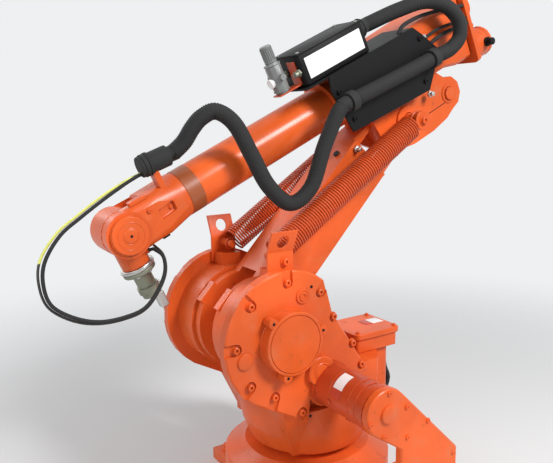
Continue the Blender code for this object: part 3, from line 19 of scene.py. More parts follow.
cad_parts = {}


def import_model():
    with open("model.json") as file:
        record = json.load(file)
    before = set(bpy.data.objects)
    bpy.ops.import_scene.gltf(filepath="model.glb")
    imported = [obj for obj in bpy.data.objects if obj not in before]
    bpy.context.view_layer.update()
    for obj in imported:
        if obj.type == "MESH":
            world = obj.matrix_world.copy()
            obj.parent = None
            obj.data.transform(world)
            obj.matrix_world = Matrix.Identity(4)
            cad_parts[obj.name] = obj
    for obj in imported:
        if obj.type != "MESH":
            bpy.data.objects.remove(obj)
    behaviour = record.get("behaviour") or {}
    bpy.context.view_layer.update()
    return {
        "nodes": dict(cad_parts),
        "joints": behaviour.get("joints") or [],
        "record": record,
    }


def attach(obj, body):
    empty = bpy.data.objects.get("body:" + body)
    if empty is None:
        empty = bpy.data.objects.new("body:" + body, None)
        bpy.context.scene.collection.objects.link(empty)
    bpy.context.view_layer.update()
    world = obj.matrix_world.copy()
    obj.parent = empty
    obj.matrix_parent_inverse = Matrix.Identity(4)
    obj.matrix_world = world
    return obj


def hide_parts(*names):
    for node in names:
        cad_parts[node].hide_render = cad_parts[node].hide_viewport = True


LOG = logging.getLogger("robot_arm")
MILLIMETRE = 0.001
MERGE = MILLIMETRE / 100
HALF_TURN = math.pi
FULL_TURN = math.tau
SHARP = math.radians(32)
FLAT = math.radians(1.2)
UPRIGHT = Matrix.Identity(4)
UP = (0, 0, 1)
AHEAD = (1, 0, 0)
BACK = (-1, 0, 0)
NEARWARD = (0, 1, 0)
SIDES = (1, -1)

Point = tuple[float, float, float]
Pair = tuple[float, float]


# Shader building

class Shade:
    """One socket of a material, used in plain arithmetic."""

    def __init__(self, graph: "Graph", socket: bpy.types.NodeSocket) -> None:
        """Keep the socket with the graph that it belongs to."""
        self.graph = graph
        self.socket = socket

    def _with(self, other: "Shade | float", operation: str, swapped: bool = False) -> "Shade":
        """Join two values by one Math node.

        Args:
            other: the second value.
            operation: the Math node's operation.
            swapped: True where the other value comes first.

        Returns:
            The result's socket.
        """
        first, second = (other, self) if swapped else (self, other)
        return self.graph.node("ShaderNodeMath", {"operation": operation}, {0: first, 1: second})

    def __add__(self, other: "Shade | float") -> "Shade":
        """Sum."""
        return self._with(other, "ADD")

    def __radd__(self, other: float) -> "Shade":
        """Sum with the number first."""
        return self._with(other, "ADD", True)

    def __sub__(self, other: "Shade | float") -> "Shade":
        """Difference."""
        return self._with(other, "SUBTRACT")

    def __rsub__(self, other: float) -> "Shade":
        """Difference with the number first."""
        return self._with(other, "SUBTRACT", True)

    def __mul__(self, other: "Shade | float") -> "Shade":
        """Product."""
        return self._with(other, "MULTIPLY")

    def __rmul__(self, other: float) -> "Shade":
        """Product with the number first."""
        return self._with(other, "MULTIPLY", True)

    def step(self, low: float, high: float) -> "Shade":
        """Smooth rise from 0 at low to 1 at high."""
        return self.graph.node("ShaderNodeMapRange", {"interpolation_type": "SMOOTHSTEP"},
                               {"Value": self, "From Min": low, "From Max": high})


class Pattern(NamedTuple):
    """A noise: its features a metre, its detail, and its stretch along the axes."""

    scale: float
    detail: float
    stretch: Point = (1.0, 1.0, 1.0)


class Graph:
    """A material's node tree with its Principled shader."""

    def __init__(self, name: str) -> None:
        """Make the material.

        Args:
            name: the material's name.
        """
        self.material = bpy.data.materials.new(name)
        self.material.use_nodes = True
        self.tree = self.material.node_tree
        self.shader = self.tree.nodes["Principled BSDF"]

    def node(self, kind: str, settings: dict[str, object], inputs: dict[object, object],
             output: int | str = 0) -> Shade:
        """Add one node.

        Args:
            kind: the node's type.
            settings: its own settings.
            inputs: values or sockets by input name or number.
            output: the output wanted.

        Returns:
            That output as a Shade.
        """
        made = self.tree.nodes.new(kind)
        for name, value in settings.items():
            setattr(made, name, value)
        for key, value in inputs.items():
            self.feed(made.inputs[key], value)
        return Shade(self, made.outputs[output])

    def feed(self, socket: bpy.types.NodeSocket, value: object) -> None:
        """Link a socket, or set it.

        Args:
            socket: the socket.
            value: a Shade to link, or a number, vector or colour to set.
        """
        if isinstance(value, Shade):
            self.tree.links.new(value.socket, socket)
        elif isinstance(value, tuple) and len(value) == 3 and len(socket.default_value) == 4:
            socket.default_value = (*value, 1.0)
        else:
            socket.default_value = value

    def set(self, **sockets: object) -> None:
        """Feed the Principled shader's sockets, named with underscores for spaces."""
        for name, value in sockets.items():
            self.feed(self.shader.inputs[name.replace("_", " ")], value)

    def place(self) -> Shade:
        """Object coordinates, in metres."""
        return self.node("ShaderNodeTexCoord", {}, {}, "Object")

    def noise(self, pattern: Pattern) -> Shade:
        """Noise of a pattern, from 0 to 1."""
        where = self.node("ShaderNodeMapping", {}, {"Vector": self.place(), "Scale": pattern.stretch})
        return self.node("ShaderNodeTexNoise", {}, {"Vector": where, "Scale": pattern.scale,
                                                    "Detail": pattern.detail})

    def mix(self, share: Shade | float, first: object, second: object) -> Shade:
        """Blend two colours by a share."""
        return self.node("ShaderNodeMix", {"data_type": "RGBA"}, {0: share, 6: first, 7: second}, 2)

    def bump(self, height: Shade, depth: float, strength: float, below: Shade | None = None) -> Shade:
        """Turn a height into a bump.

        Args:
            height: the height, from 0 to 1.
            depth: how deep a height of 1 is, in metres.
            strength: the bump's strength.
            below: a bump that this one lies on.

        Returns:
            The bumped normal.
        """
        inputs = {"Height": height, "Distance": depth, "Strength": strength}
        if below is not None:
            inputs["Normal"] = below
        return self.node("ShaderNodeBump", {}, inputs)


# Finishes

def tinted(colour: Point, share: float) -> Point:
    """A colour made darker or brighter, at most to 1."""
    return tuple(min(1.0, share * part) for part in colour)


@dataclass(frozen=True)
class MachinePaint:
    """Satin machine paint over cast iron, a little dusty and worn."""

    name: str
    slot: str
    colour: Point
    roughness: float = 0.34
    grain_depth: float = 0.00022
    dust_colour: Point = (0.46, 0.24, 0.13)
    grime_colour: Point = (0.16, 0.045, 0.018)
    tone: Pattern = Pattern(5.0, 4.0)
    cloud: Pattern = Pattern(19.0, 5.0)
    grain: Pattern = Pattern(260.0, 2.0)
    spots: Pattern = Pattern(46.0, 6.0)
    dark_and_bright: Pair = (0.80, 1.10)
    tone_span: Pair = (0.35, 0.68)
    dust_span: Pair = (0.52, 0.80)
    dust_share: float = 0.22
    grime_span: Pair = (0.62, 0.74)
    grime_grain_span: Pair = (0.40, 0.62)
    grime_share: float = 0.50
    dulling: Point = (0.16, 0.06, 0.25)
    gloss_shift: float = 0.10
    flow_depth: float = 0.0030
    flow_strength: float = 0.35
    grain_strength: float = 0.45

    def build(self) -> bpy.types.Material:
        """Make the material.

        Returns:
            The material.
        """
        graph = Graph(self.name)
        tone, cloud, fine = (graph.noise(pattern) for pattern in (self.tone, self.cloud, self.grain))
        deep, bright = (tinted(self.colour, share) for share in self.dark_and_bright)
        base = graph.mix(tone.step(*self.tone_span), deep, bright)
        dust = cloud.step(*self.dust_span) * self.dust_share
        base = graph.mix(dust, base, self.dust_colour)
        spots = graph.noise(self.spots).step(*self.grime_span)
        grime = spots * fine.step(*self.grime_grain_span) * self.grime_share
        base = graph.mix(grime, base, self.grime_colour)
        by_cloud, by_tone, by_grime = self.dulling
        dull = cloud * by_cloud + tone * by_tone + grime * by_grime
        flow = graph.bump(tone, self.flow_depth, self.flow_strength)
        graph.set(Base_Color=base, Roughness=dull + (self.roughness - self.gloss_shift))
        graph.set(Coat_Weight=0.10, Coat_Roughness=0.16, Specular_IOR_Level=0.22)
        graph.set(Normal=graph.bump(fine, self.grain_depth, self.grain_strength, flow))
        return graph.material


@dataclass(frozen=True)
class PowderCoat:
    """Fine-textured black powder coat on sheet metal."""

    name: str
    slot: str
    colour: Point
    roughness: float = 0.44
    cloud: Pattern = Pattern(14.0, 4.0)
    grain: Pattern = Pattern(900.0, 1.0)
    scuff: Pattern = Pattern(60.0, 5.0, (1.0, 1.0, 7.0))
    scuff_span: Pair = (0.66, 0.74)
    scuff_share: float = 0.35
    cloud_share: float = 0.12
    scuff_gain: float = 2.5
    scuff_lift: float = 0.010
    dulling: Pair = (0.14, 0.12)
    gloss_shift: float = 0.07
    grain_depth: float = 0.00012
    grain_strength: float = 0.5

    def build(self) -> bpy.types.Material:
        """Make the material.

        Returns:
            The material.
        """
        graph = Graph(self.name)
        cloud, grain = graph.noise(self.cloud), graph.noise(self.grain)
        scuff = graph.noise(self.scuff).step(*self.scuff_span)
        worn = tuple(part * self.scuff_gain + self.scuff_lift for part in self.colour)
        wear = scuff * self.scuff_share + cloud * self.cloud_share
        by_cloud, by_scuff = self.dulling
        dull = cloud * by_cloud + scuff * by_scuff + (self.roughness - self.gloss_shift)
        graph.set(Base_Color=graph.mix(wear, self.colour, worn), Roughness=dull, Specular_IOR_Level=0.12)
        graph.set(Normal=graph.bump(grain, self.grain_depth, self.grain_strength))
        return graph.material


@dataclass(frozen=True)
class Rubber:
    """Satin black rubber or plastic with dust in its folds."""

    name: str
    slot: str
    colour: Point = (0.006, 0.006, 0.0065)
    roughness: float = 0.34
    cloud: Pattern = Pattern(24.0, 4.0)
    grain: Pattern = Pattern(420.0, 2.0)
    dust_colour: Point = (0.035, 0.033, 0.030)
    dust_span: Pair = (0.56, 0.82)
    dust_share: float = 0.3
    dulling: Pair = (0.22, 0.10)
    gloss_shift: float = 0.05
    grain_depth: float = 0.0001
    grain_strength: float = 0.4

    def build(self) -> bpy.types.Material:
        """Make the material.

        Returns:
            The material.
        """
        graph = Graph(self.name)
        cloud = graph.noise(self.cloud)
        dust = cloud.step(*self.dust_span)
        by_dust, by_cloud = self.dulling
        dull = dust * by_dust + cloud * by_cloud + (self.roughness - self.gloss_shift)
        dusty = graph.mix(dust * self.dust_share, self.colour, self.dust_colour)
        graph.set(Base_Color=dusty, Roughness=dull, Specular_IOR_Level=0.22)
        graph.set(Normal=graph.bump(graph.noise(self.grain), self.grain_depth, self.grain_strength))
        return graph.material


@dataclass(frozen=True)
class BareMetal:
    """Machined or cast metal with fine tool marks."""

    name: str
    slot: str
    colour: Point
    roughness: float = 0.30
    metallic: float = 1.0
    marks: Pattern = Pattern(210.0, 3.0, (1.0, 1.0, 9.0))
    mark_depth: float = 0.00008
    mark_strength: float = 0.5
    stain: Pattern = Pattern(38.0, 5.0)
    stain_span: Pair = (0.45, 0.75)
    stain_share: float = 0.6
    stain_tint: float = 0.62
    dulling: Pair = (0.16, 0.14)
    gloss_shift: float = 0.08

    def build(self) -> bpy.types.Material:
        """Make the material.

        Returns:
            The material.
        """
        graph = Graph(self.name)
        marks, stain = graph.noise(self.marks), graph.noise(self.stain)
        stained = stain.step(*self.stain_span) * self.stain_share
        by_marks, by_stain = self.dulling
        dull = marks * by_marks + stain * by_stain + (self.roughness - self.gloss_shift)
        graph.set(Base_Color=graph.mix(stained, self.colour, tinted(self.colour, self.stain_tint)))
        graph.set(Roughness=dull, Metallic=self.metallic)
        graph.set(Normal=graph.bump(marks, self.mark_depth, self.mark_strength))
        return graph.material


@dataclass(frozen=True)
class PlainPlate:
    """Blank plastic or enamelled plate with faint dirt."""

    name: str
    slot: str
    colour: Point
    roughness: float = 0.36
    dirt: Pattern = Pattern(32.0, 5.0)
    dirt_span: Pair = (0.52, 0.80)
    dirt_share: float = 0.5
    dirt_tint: float = 0.72
    dulling: float = 0.2
    grain: Pattern = Pattern(300.0, 2.0)
    grain_depth: float = 0.00005
    grain_strength: float = 0.3

    def build(self) -> bpy.types.Material:
        """Make the material.

        Returns:
            The material.
        """
        graph = Graph(self.name)
        dirt = graph.noise(self.dirt).step(*self.dirt_span)
        soiled = tinted(self.colour, self.dirt_tint)
        graph.set(Base_Color=graph.mix(dirt * self.dirt_share, self.colour, soiled))
        graph.set(Roughness=dirt * self.dulling + self.roughness)
        graph.set(Normal=graph.bump(graph.noise(self.grain), self.grain_depth, self.grain_strength))
        return graph.material


@dataclass(frozen=True)
class WireDarkBelow:
    """Slightly soiled wire sheath, darker below a height."""

    name: str
    slot: str
    colour: Point
    roughness: float = 0.30
    # the darker colour, and the height below which the wire takes it
    dark_below_colour: Point = (0.030, 0.029, 0.027)
    dark_below_height: float = 0.678
    dirt: Pattern = Pattern(90.0, 4.0)
    dirt_span: Pair = (0.45, 0.75)
    dirt_share: float = 0.5
    dirt_tint: float = 0.55
    dulling: float = 0.2
    grain_depth: float = 0.0001
    grain_strength: float = 0.4

    def build(self) -> bpy.types.Material:
        """Make the material.

        Returns:
            The material.
        """
        graph = Graph(self.name)
        height = graph.node("ShaderNodeSeparateXYZ", {}, {"Vector": graph.place()}, 2)
        above_share = height.step(self.dark_below_height - MILLIMETRE, self.dark_below_height + MILLIMETRE)
        dirt = graph.noise(self.dirt)
        soiled = tinted(self.colour, self.dirt_tint)
        sheath = graph.mix(dirt.step(*self.dirt_span) * self.dirt_share, self.colour, soiled)
        # darker colour below the height, sheath colour above
        graph.set(Base_Color=graph.mix(above_share, self.dark_below_colour, sheath))
        graph.set(Roughness=dirt * self.dulling + self.roughness)
        graph.set(Normal=graph.bump(dirt, self.grain_depth, self.grain_strength))
        return graph.material


class Finish(Enum):
    """The finishes of this machine."""

    ORANGE = MachinePaint("orange_casting", "orange_paint", (0.74, 0.112, 0.020))
    SMOOTH_ORANGE = MachinePaint("orange_tube", "orange_paint", (0.76, 0.118, 0.021), 0.27, 0.00006)
    DEEP_ORANGE = MachinePaint("orange_motor", "deep_orange_paint", (0.56, 0.070, 0.017), 0.36, 0.00010)
    SPRING = MachinePaint("orange_spring", "deep_orange_paint", (0.60, 0.085, 0.020), 0.36, 0.00005)
    BLACK = PowderCoat("black_coat", "black_paint", (0.007, 0.007, 0.0075))
    RUBBER = Rubber("black_rubber", "black_rubber")
    RED = PlainPlate("red_plate", "deep_orange_paint", (0.52, 0.060, 0.030))
    # painted shadow: a darker band round the forearm tube near the wrist, where shade falls
    SHADOW_BAND = PlainPlate("tube_shadow_paint", "deep_orange_paint", (0.30, 0.075, 0.022), 0.30)
    WHITE = PlainPlate("white_plate", "white_plate", (0.78, 0.78, 0.76))
    GREY = PlainPlate("grey_plastic", "pale_grey", (0.19, 0.195, 0.19), 0.42)
    STEEL = BareMetal("machined_steel", "bare_steel", (0.52, 0.52, 0.50))
    OLIVE = BareMetal("dull_grey", "olive_grey", (0.24, 0.25, 0.19), 0.42, 0.7)
    WIRE = WireDarkBelow("earth_wire", "yellow_green_wire", (0.66, 0.66, 0.14))

    def material(self) -> bpy.types.Material:
        """The finish's material, made once."""
        found = bpy.data.materials.get(self.value.name)
        return found if found else self.value.build()


# Sizes of small pieces

class Box(NamedTuple):
    """A block between two corners, with the rounding of its edges."""

    low: Point
    high: Point
    rounding: float = 0.0


class Bar(NamedTuple):
    """A round or many-sided bar along Z, with the cut of its ends."""

    radius: float
    low: float
    high: float
    sides: int = 20
    chamfer: float = 0.0


class Wire(NamedTuple):
    """A ring of round wire about Z, at a height."""

    major: float
    minor: float
    height: float = 0.0
    sides: int = 32


class Turning(NamedTuple):
    """An outline of (radius, height) pairs that is turned about Z."""

    outline: Sequence[Pair]
    sides: int = 32


class Screw(NamedTuple):
    """A cap screw's head, and the washer under it where it has one."""

    radius: float
    height: float
    washer: float = 0.0
    washer_height: float = 0.0015


def flat_ring(inner: float, outer: float, low: float, high: float, sides: int = 32,
              edge: float = 0.0006) -> Turning:
    """A ring with a broken upper edge, between two radii and two heights."""
    return Turning(((inner, low), (outer, low), (outer, high - edge), (outer - edge, high),
                    (inner, high), (inner, low)), sides)


SCREW_SIDES = 14
SCREW_RIM = 0.14
SCREW_DISH = 0.10
SCREW_LAND = 0.36
SCREW_RECESS = 0.55
BEVEL_STEPS = 2
WIRE_SECTION = 8
SHELL_STEPS = 14
ROUTE_STEPS = 24


# Modelling

def linked(name: str, data: bpy.types.ID) -> bpy.types.Object:
    """Put data into the scene as an object at the origin.

    Args:
        name: the object's name.
        data: its mesh, curve, camera or light.

    Returns:
        The object.
    """
    made = bpy.data.objects.new(name, data)
    bpy.context.scene.collection.objects.link(made)
    return made


def meshed(name: str, work: bmesh.types.BMesh) -> bpy.types.Object:
    """Close a bmesh as an object at the origin.

    Args:
        name: the object's name.
        work: the bmesh, which is freed.

    Returns:
        The object.
    """
    data = bpy.data.meshes.new(name)
    work.to_mesh(data)
    work.free()
    return linked(name, data)


def edges_of(verts: Sequence[bmesh.types.BMVert]) -> list[bmesh.types.BMEdge]:
    """The edges that meet at some vertices, each once."""
    return list({edge for vert in verts for edge in vert.link_edges})


def wire_section(major: float) -> Matrix:
    """Frame of a wire's cross-section, that far out along X."""
    return Matrix.Translation((major, 0, 0)) @ Matrix.Rotation(HALF_TURN / 2, 4, "X")


class Workpiece:
    """A piece under way: a bmesh in the own frame of the body that will carry it."""

    def __init__(self) -> None:
        """Start with nothing."""
        self.mesh = bmesh.new()

    def rounded(self, edges: Sequence[bmesh.types.BMEdge], width: float) -> "Workpiece":
        """Round some edges."""
        bmesh.ops.bevel(self.mesh, geom=edges, offset=width, segments=BEVEL_STEPS, profile=0.5,
                        affect="EDGES", material=-1)
        return self

    def bar(self, size: Bar, place: Matrix) -> "Workpiece":
        """Add a bar along the place's Z.

        Args:
            size: its sizes.
            place: the frame it stands in.

        Returns:
            This workpiece.
        """
        middle = place @ Matrix.Translation((0, 0, (size.low + size.high) / 2))
        made = bmesh.ops.create_cone(self.mesh, cap_ends=True, segments=size.sides, radius1=size.radius,
                                     radius2=size.radius, depth=size.high - size.low, matrix=middle)
        if size.chamfer:
            rims = [edge for edge in edges_of(made["verts"])
                    if any(len(face.verts) > 4 for face in edge.link_faces)]
            self.rounded(rims, size.chamfer)
        return self

    def block(self, box: Box, place: Matrix = UPRIGHT) -> "Workpiece":
        """Add a block.

        Args:
            box: its corners and rounding.
            place: the frame it stands in.

        Returns:
            This workpiece.
        """
        size = [after - before for before, after in zip(box.low, box.high)]
        middle = [(before + after) / 2 for before, after in zip(box.low, box.high)]
        shape = place @ Matrix.Translation(middle) @ Matrix.Diagonal((*size, 1))
        made = bmesh.ops.create_cube(self.mesh, size=1, matrix=shape)
        return self.rounded(edges_of(made["verts"]), box.rounding) if box.rounding else self

    def settle(self, before: set[bmesh.types.BMVert], place: Matrix) -> "Workpiece":
        """Merge the doubles of what is new, and move it to its place.

        Args:
            before: the vertices that were there earlier.
            place: the frame that the new shape stands in.

        Returns:
            This workpiece.
        """
        fresh = [vert for vert in self.mesh.verts if vert not in before]
        bmesh.ops.remove_doubles(self.mesh, verts=fresh, dist=MERGE)
        fresh = [vert for vert in self.mesh.verts if vert not in before]
        bmesh.ops.transform(self.mesh, matrix=place, verts=fresh)
        return self

    def turned(self, turning: Turning, place: Matrix) -> "Workpiece":
        """Add a shape turned about the place's Z.

        Args:
            turning: its outline and number of sides.
            place: the frame it stands in.

        Returns:
            This workpiece.
        """
        before = set(self.mesh.verts)
        verts = [self.mesh.verts.new((radius, 0, height)) for radius, height in turning.outline]
        edges = [self.mesh.edges.new(pair) for pair in zip(verts, verts[1:])]
        bmesh.ops.spin(self.mesh, geom=verts + edges, cent=(0, 0, 0), axis=UP, angle=FULL_TURN,
                       steps=turning.sides, use_merge=True)
        return self.settle(before, place)

    def ring(self, wire: Wire, place: Matrix) -> "Workpiece":
        """Add a ring of round wire about the place's Z.

        Args:
            wire: its radii, height and number of sides.
            place: the frame it stands in.

        Returns:
            This workpiece.
        """
        before = set(self.mesh.verts)
        rim = bmesh.ops.create_circle(self.mesh, cap_ends=False, segments=WIRE_SECTION, radius=wire.minor,
                                      matrix=wire_section(wire.major))["verts"]
        bmesh.ops.spin(self.mesh, geom=rim + edges_of(rim), cent=(0, 0, 0), axis=UP, angle=FULL_TURN,
                       steps=wire.sides, use_merge=True)
        return self.settle(before, place @ Matrix.Translation((0, 0, wire.height)))

    def shell(self, radius: float, thickness: float, span: Pair, sweep: Pair, place: Matrix) -> "Workpiece":
        """Add a thin curved plate about the place's Z.

        Args:
            radius: its inner radius.
            thickness: its thickness.
            span: where it starts and ends along Z.
            sweep: its first angle, and the angle that it covers.
            place: the frame it stands in.

        Returns:
            This workpiece.
        """
        before = set(self.mesh.verts)
        middle = Matrix.Translation((radius + thickness / 2, 0, (span[0] + span[1]) / 2))
        section = middle @ Matrix.Rotation(HALF_TURN / 2, 4, "X") @ Matrix.Diagonal(
            (thickness, span[1] - span[0], 1, 1))
        made = bmesh.ops.create_grid(self.mesh, x_segments=1, y_segments=1, size=0.5, matrix=section)["verts"]
        faces = list({face for vert in made for face in vert.link_faces})
        bmesh.ops.spin(self.mesh, geom=faces + edges_of(made) + made, cent=(0, 0, 0), axis=UP,
                       angle=sweep[1], steps=SHELL_STEPS)
        return self.settle(before, place @ Matrix.Rotation(sweep[0], 4, "Z"))

    def screw(self, size: Screw, place: Matrix) -> "Workpiece":
        """Add a cap screw's head with its hexagon recess, on its washer where it has one.

        Args:
            size: the head's and the washer's sizes.
            place: the frame it stands on.

        Returns:
            This workpiece.
        """
        if size.washer:
            self.bar(Bar(size.washer, 0, size.washer_height), place)
            place = place @ Matrix.Translation((0, 0, size.washer_height))
        before = set(self.mesh.faces)
        self.bar(Bar(size.radius, 0, size.height, SCREW_SIDES), place)
        tops = [face for face in self.mesh.faces if face not in before and len(face.verts) == SCREW_SIDES]
        up = (place.to_3x3() @ Vector(UP)).normalized()
        top = max(tops, key=lambda face: face.calc_center_median().dot(up))
        bmesh.ops.inset_region(self.mesh, faces=[top], thickness=size.radius * SCREW_RIM,
                               depth=size.radius * SCREW_DISH)
        bmesh.ops.inset_region(self.mesh, faces=[top], thickness=size.radius * SCREW_LAND, depth=0)
        sunk = bmesh.ops.extrude_discrete_faces(self.mesh, faces=[top])["faces"]
        bmesh.ops.translate(self.mesh, verts=sunk[0].verts, vec=up * -size.height * SCREW_RECESS)
        return self

    def shape(self, name: str, place: Matrix | None = None) -> bpy.types.Object:
        """Close the work as a bare object at the origin, with its place in its mesh.

        Args:
            name: the object's name.
            place: the frame that its mesh was modelled in.

        Returns:
            The object.
        """
        if place is not None:
            bmesh.ops.transform(self.mesh, matrix=place, verts=self.mesh.verts)
        bmesh.ops.recalc_face_normals(self.mesh, faces=self.mesh.faces)
        return meshed(name, self.mesh)

    def finish(self, name: str, body: str, finish: Finish, place: Matrix | None = None) -> bpy.types.Object:
        """Close the work as an object that rides on a body, and give it its finish."""
        return dress(self.shape(name, place), body, finish)


def dress(made: bpy.types.Object, body: str, finish: Finish, soften: float = 0.0) -> bpy.types.Object:
    """Give a mesh or curve object its finish, soft edges and body.

    Args:
        made: the object.
        body: the body that carries it.
        finish: its finish.
        soften: width of a bevel on its sharp edges.

    Returns:
        The same object.
    """
    if made.type == "MESH":
        made.data.shade_smooth()
        made.data.set_sharp_from_angle(angle=SHARP)
    if soften:
        step = made.modifiers.new("soft_edges", "BEVEL")
        step.width = soften
        step.segments = BEVEL_STEPS
        step.limit_method = "ANGLE"
        step.angle_limit = SHARP
        step.harden_normals = True
    made.data.materials.clear()
    made.data.materials.append(finish.material())
    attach(made, body)
    LOG.info("%s rides on %s", made.name, body)
    return made


def carved(made: bpy.types.Object, cutter: bpy.types.Object) -> None:
    """Cut a closed shape out of a mesh object, and drop the cutter.

    Args:
        made: the object.
        cutter: the closed shape.
    """
    step = made.modifiers.new("recess", "BOOLEAN")
    step.operation = "DIFFERENCE"
    step.solver = "EXACT"
    step.object = cutter
    bpy.context.view_layer.update()
    cut = made.evaluated_get(bpy.context.evaluated_depsgraph_get())
    data = bpy.data.meshes.new_from_object(cut)
    made.modifiers.clear()
    made.data = data
    bpy.data.objects.remove(cutter)


def softened(node: bpy.types.Object, body: str, finish: Finish, width: float,
             cutter: bpy.types.Object | None = None) -> bpy.types.Object:
    """Copy a node with its flat faces joined and its edges softened.

    Args:
        node: the frame's node.
        body: the body that carries it.
        finish: its finish.
        width: how wide the edges are rounded.
        cutter: a closed shape that is cut out of the copy.

    Returns:
        The copy, which replaces the node.
    """
    work = bmesh.new()
    work.from_mesh(node.data)
    bmesh.ops.remove_doubles(work, verts=work.verts, dist=MERGE * 2)
    bmesh.ops.dissolve_limit(work, angle_limit=FLAT, verts=work.verts, edges=work.edges)
    made = meshed(node.name + "_skin", work)
    if cutter is not None:
        carved(made, cutter)
    dress(made, body, finish, width)
    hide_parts(node.name)
    return made


def facing(point: Sequence[float], heading: Sequence[float]) -> Matrix:
    """Frame at a point whose Z looks along a heading."""
    turn = Vector(UP).rotation_difference(Vector(heading).normalized())
    return Matrix.Translation(point) @ turn.to_matrix().to_4x4()


def framed(point: Sequence[float], along: Sequence[float], across: Sequence[float]) -> Matrix:
    """Frame at a point with two headings.

    Args:
        point: the frame's origin.
        along: where its Z looks.
        across: where its X looks, as nearly as Z allows.

    Returns:
        The frame.
    """
    z = Vector(along).normalized()
    x = Vector(across)
    x = (x - z * x.dot(z)).normalized()
    turn = Matrix((x, z.cross(x), z)).transposed().to_4x4()
    return Matrix.Translation(point) @ turn


def side_name(side: int) -> str:
    """Name of a side of the arm."""
    return "near" if side > 0 else "far"


def side_seats(points: Sequence[Pair], reach: float, side: int = 1) -> list[Matrix]:
    """Seats at (x, z) points of a side face that lies that far from the middle, looking outward."""
    return [facing((x, reach * side, z), (0, side, 0)) for x, z in points]


def circle_points(radius: float, degrees: Sequence[float], centre: Pair = (0, 0)) -> list[Pair]:
    """(x, z) points on a circle, by their angle from X towards Z."""
    turns = [math.radians(angle) for angle in degrees]
    return [(centre[0] + radius * math.cos(turn), centre[1] + radius * math.sin(turn)) for turn in turns]


def spoke(axis: Matrix, index: int, count: int, radius: float) -> Matrix:
    """Frame beside an axis, at one of a number of even steps round it."""
    return axis @ Matrix.Rotation(FULL_TURN * index / count, 4, "Z") @ Matrix.Translation((radius, 0, 0))


def vectors(points: Sequence[Point]) -> list[Vector]:
    """Points as vectors."""
    return [Vector(point) for point in points]


RECESS_FRAME = framed((0.6300, 0.0590, 0.0030), (-0.237, 0.9715, 0.0), AHEAD)


def smooth_route(points: Sequence[Vector], spacing: float) -> list[Vector]:
    """Evenly spaced points along a smooth curve through the route's own points.

    Args:
        points: the route's own points.
        spacing: the distance wanted between points.

    Returns:
        The points, ends included.
    """
    ends = [points[0] * 2 - points[1], *points, points[-1] * 2 - points[-2]]
    fine = []
    for first, second, third, fourth in zip(ends, ends[1:], ends[2:], ends[3:]):
        for index in range(ROUTE_STEPS):
            t = index / ROUTE_STEPS
            pull = (third - first) * t
            bend = (first * 2 - second * 5 + third * 4 - fourth) * t ** 2
            twist = (second * 3 - first - third * 3 + fourth) * t ** 3
            fine.append((second * 2 + pull + bend + twist) / 2)
    fine.append(points[-1])
    lengths = [0.0]
    for first, second in zip(fine, fine[1:]):
        lengths.append(lengths[-1] + (second - first).length)
    count = max(2, round(lengths[-1] / spacing))
    route, cursor = [], 0
    for index in range(count + 1):
        wanted = lengths[-1] * index / count
        while cursor < len(fine) - 2 and lengths[cursor + 1] < wanted:
            cursor += 1
        span = lengths[cursor + 1] - lengths[cursor]
        share = (wanted - lengths[cursor]) / span if span else 0
        route.append(fine[cursor].lerp(fine[cursor + 1], min(share, 1)))
    return route


@dataclass
class Places:
    """Own frames of the bodies, worked out from the joints."""

    joints: dict[str, dict]

    def at(self, joint: str) -> Vector:
        """A joint's point."""
        return Vector(self.joints[joint]["pos_m"])

    def level(self, joint: str, heading: Vector) -> Matrix:
        """Frame at a joint whose X looks along a heading in the arm's plane."""
        flat = Vector((heading.x, 0, heading.z)).normalized()
        return Matrix.Translation(self.at(joint)) @ Matrix.Rotation(math.atan2(-flat.z, flat.x), 4, "Y")

    @property
    def lower_arm(self) -> Matrix:
        """Z runs up the lower arm from axis 2."""
        along = self.at("axis_3") - self.at("axis_2")
        return self.level("axis_2", Vector((along.z, 0, -along.x)))

    @property
    def upper_arm(self) -> Matrix:
        """X runs forward from the elbow."""
        return self.level("axis_3", self.at("axis_3") - self.at("rod_pin_level"))

    @property
    def forearm(self) -> Matrix:
        """X runs forward along axis 4."""
        return self.level("axis_4", self.at("axis_5") - self.at("axis_4"))

    @property
    def flange(self) -> Matrix:
        """Z runs out of the tool flange from the wrist's centre."""
        out = Vector(self.joints["axis_6"]["axis"])
        return self.level("axis_5", Vector((out.z, 0, -out.x)))


